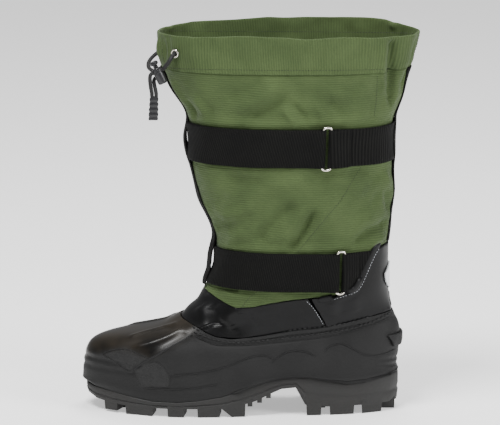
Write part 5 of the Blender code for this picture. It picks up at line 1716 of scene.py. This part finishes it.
@dataclass
class Fastenings:
    """Straps, tabs, rings and upright webbing.

    Attributes:
        levels: how often the webbing is subdivided.
        front_hug: how far the front strip and its edges settle on the cloth.
        back_hug: the same for the back strip.
    """

    levels: int = 2
    front_hug: tuple = (0.0004, 0.0018)
    back_hug: tuple = (-0.0008, -0.0006)

    def ribbon(
        self, node: str, name: str, wrap: Wrap, surface: Surface, finish: bpy.types.Material,
        hug: tuple = (0.0, 0.0)
    ) -> None:
        """Builds one strap or webbing strip on the creased cloth.

        Args:
            node: the CAD node.
            name: the new piece's name.
            wrap: the map to lay on it.
            surface: what the folds are cast onto.
            finish: its material.
            hug: how far it moves along X, in all and at its edges besides.
        """
        piece = clone_node(node, name, self.levels, sharp=50.0, crease=0.9)
        wrap.lay(piece)
        press_reliefs(piece, surface, NylonLeg.CREASES)
        ruffle(piece, 0.0022, 0.030, 3.0)
        rows = coordinates(piece)
        share = (rows[:, 1] / np.abs(rows[:, 1]).max()) ** 2
        rows[:, 0] += hug[0] + hug[1] * share
        place_corners(piece, rows)
        soften(piece, 50.0)
        settle(piece, finish, (node,))

    def ring(self, node: str, name: str, finish: bpy.types.Material) -> None:
        """Builds one wire ring."""
        piece = clone_node(node, name, 2, sharp=175.0)
        ruffle(piece, 0.0022, 0.030, 3.0)
        soften(piece, 80.0)
        settle(piece, finish, (node,))

    def build(
        self, wrap: Wrap, strap: bpy.types.Material, tab: bpy.types.Material,
        strip: bpy.types.Material, metal: bpy.types.Material
    ) -> None:
        """Builds all straps, strips, rings and eyelets.

        Args:
            wrap: the map to lay on the webbing.
            strap: the long straps' material.
            tab: the short tabs' material.
            strip: the upright strips' material.
            metal: the rings' material.
        """
        surface = Surface("shaft", "collar_hem")
        for level in ("upper", "lower"):
            self.ribbon(level + "_strap", level + "_long_strap", wrap, surface, strap)
            self.ribbon(level + "_tab", level + "_short_tab", wrap, surface, tab)
            self.ring(level + "_ring", level + "_wire_ring", metal)
        self.ribbon("front_webbing", "front_strip", wrap, surface, strip, self.front_hug)
        self.ribbon("back_webbing", "back_strip", wrap, surface, strip, self.back_hug)
        for side in ("outer", "inner"):
            piece = clone_node("eyelet_" + side, side + "_eyelet", 2, sharp=80.0)
            soften(piece, 60.0)
            settle(piece, metal, ("eyelet_" + side,))


@dataclass
class Lining:
    """The felt inner boot with its piping, the insole and the heel badge.

    Attributes:
        piping_radius: the piping's half width.
        badge_reach: how thick the badge's skins are, so that it closes on the counter.
        badge_set_in: how far it moves towards the counter.
    """

    piping_radius: float = 0.0013
    badge_reach: float = 0.0008
    badge_set_in: float = 0.0008

    def build(self, felt: bpy.types.Material, piping: bpy.types.Material, film: bpy.types.Material) -> None:
        """Builds what shows inside the collar, and the badge.

        Args:
            felt: the inner boot's material.
            piping: the material of the piping round its top.
            film: the badge's material.
        """
        boot = clone_node("inner_boot", "felt_inner_boot", 2, sharp=50.0)
        ruffle(boot, 0.0012, 0.020, 5.0)
        soften(boot, 50.0)
        settle(boot, felt, ("inner_boot",))
        rows = coordinates(boot)
        top = rows[rows[:, 2] > rows[:, 2].max() - 0.03]
        middle = top[:, :2].mean(axis=0)
        points = []
        for step in range(96):
            turn = 2 * math.pi * step / 96
            way = np.array((math.cos(turn), math.sin(turn)))
            offset = rows[:, :2] - middle
            along = offset @ way
            aside = np.abs(offset @ np.array((-way[1], way[0])))
            chosen = rows[(along > 0) & (aside < 0.004) & (rows[:, 2] > 0.3)]
            crest = chosen[chosen[:, 2] > chosen[:, 2].max() - 0.0012]
            points.append(crest.mean(axis=0))
        points = np.array(points + points[:1])
        for _ in range(3):
            points[1:-1] = (points[:-2] + points[1:-1] * 2 + points[2:]) / 4
        normals = np.tile((0.0, 0.0, 1.0), (len(points), 1))
        bead = sweep("inner_boot_piping", [(points, normals)], self.piping_radius, 0.0, 8)
        settle(bead, piping)
        insole = clone_node("insole", "felt_insole", 1, sharp=50.0)
        soften(insole, 50.0)
        settle(insole, felt, ("insole",))
        badge = clone_node("reflector_badge", "plain_shield", 0)
        badge.data.transform(Matrix.Translation((-self.badge_set_in, 0.0, 0.0)))
        select_only(badge)
        wall = badge.modifiers.new("wall", "SOLIDIFY")
        wall.thickness = self.badge_reach
        wall.offset = 0.0
        bpy.ops.object.modifier_apply(modifier=wall.name)
        soften(badge, 40.0)
        settle(badge, film, ("reflector_badge",))


def main() -> None:
    """Builds the studio and the boot's pieces in order."""
    logging.basicConfig(level=logging.INFO, format="%(name)s: %(message)s")
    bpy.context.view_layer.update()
    palette = Palette()
    wrap = Wrap()
    Studio().build()

    cord = Moulded("braided_cord", tint(26, 26, 26), tint(10, 10, 10), 0.75, 1500.0, 0.8).make(palette)
    plastic = Moulded("black_lock_plastic", tint(32, 32, 34), tint(22, 22, 24), 0.38, 900.0, 0.05).make(palette)
    Drawcord().build(cord, plastic)
    LOG.info("drawcord done")

    rubber = ShellRubber().make(palette)
    # Darker rubber for the beads in the shell's panel lines, painted shade in the grooves; the moulded stitches use it
    # too.
    dark = Moulded("panel_line_painted_shade", tint(22, 22, 22), tint(16, 16, 16), 0.8).make(palette)
    tread = Moulded("tread_rubber_finish", tint(31, 30, 29), tint(22, 22, 21), 0.66, 500.0, 0.35).make(palette)
    RubberFoot().build(rubber, dark, tread)
    LOG.info("rubber foot done")

    grey = Moulded("grey_thread", tint(150, 152, 156), tint(120, 122, 126), 0.7).make(palette)
    black = Moulded("black_thread", tint(14, 14, 15), tint(10, 10, 11), 0.7).make(palette)
    LeatherAnkle().build(FauxLeather().make(palette), grey, black)
    LOG.info("leather ankle done")

    green = Moulded("green_thread", tint(34, 42, 24), tint(26, 34, 18), 0.8).make(palette)
    shaft = Nylon("ribbed_nylon_shaft", RibRun.ROUND).make(palette)
    hem = Nylon("ribbed_nylon_hem", RibRun.UP).make(palette)
    NylonLeg().build(wrap, shaft, hem, green)
    LOG.info("nylon leg done")

    strap = WebbingFinish("strap_webbing", RibRun.UP, slant=0.18).make(palette)
    tab = WebbingFinish("tab_webbing", RibRun.UP, 0.0034, 0.0, 0.0007).make(palette)
    strip = WebbingFinish("strip_webbing", RibRun.ROUND, 0.0016).make(palette)
    Fastenings().build(wrap, strap, tab, strip, Plated().make(palette))
    LOG.info("fastenings done")

    piping = Moulded("grey_piping", tint(70, 72, 73), tint(56, 58, 59), 0.7).make(palette)
    Lining().build(Felt().make(palette), piping, Film().make(palette))
    LOG.info("lining done")


if __name__ == "__main__":
    main()
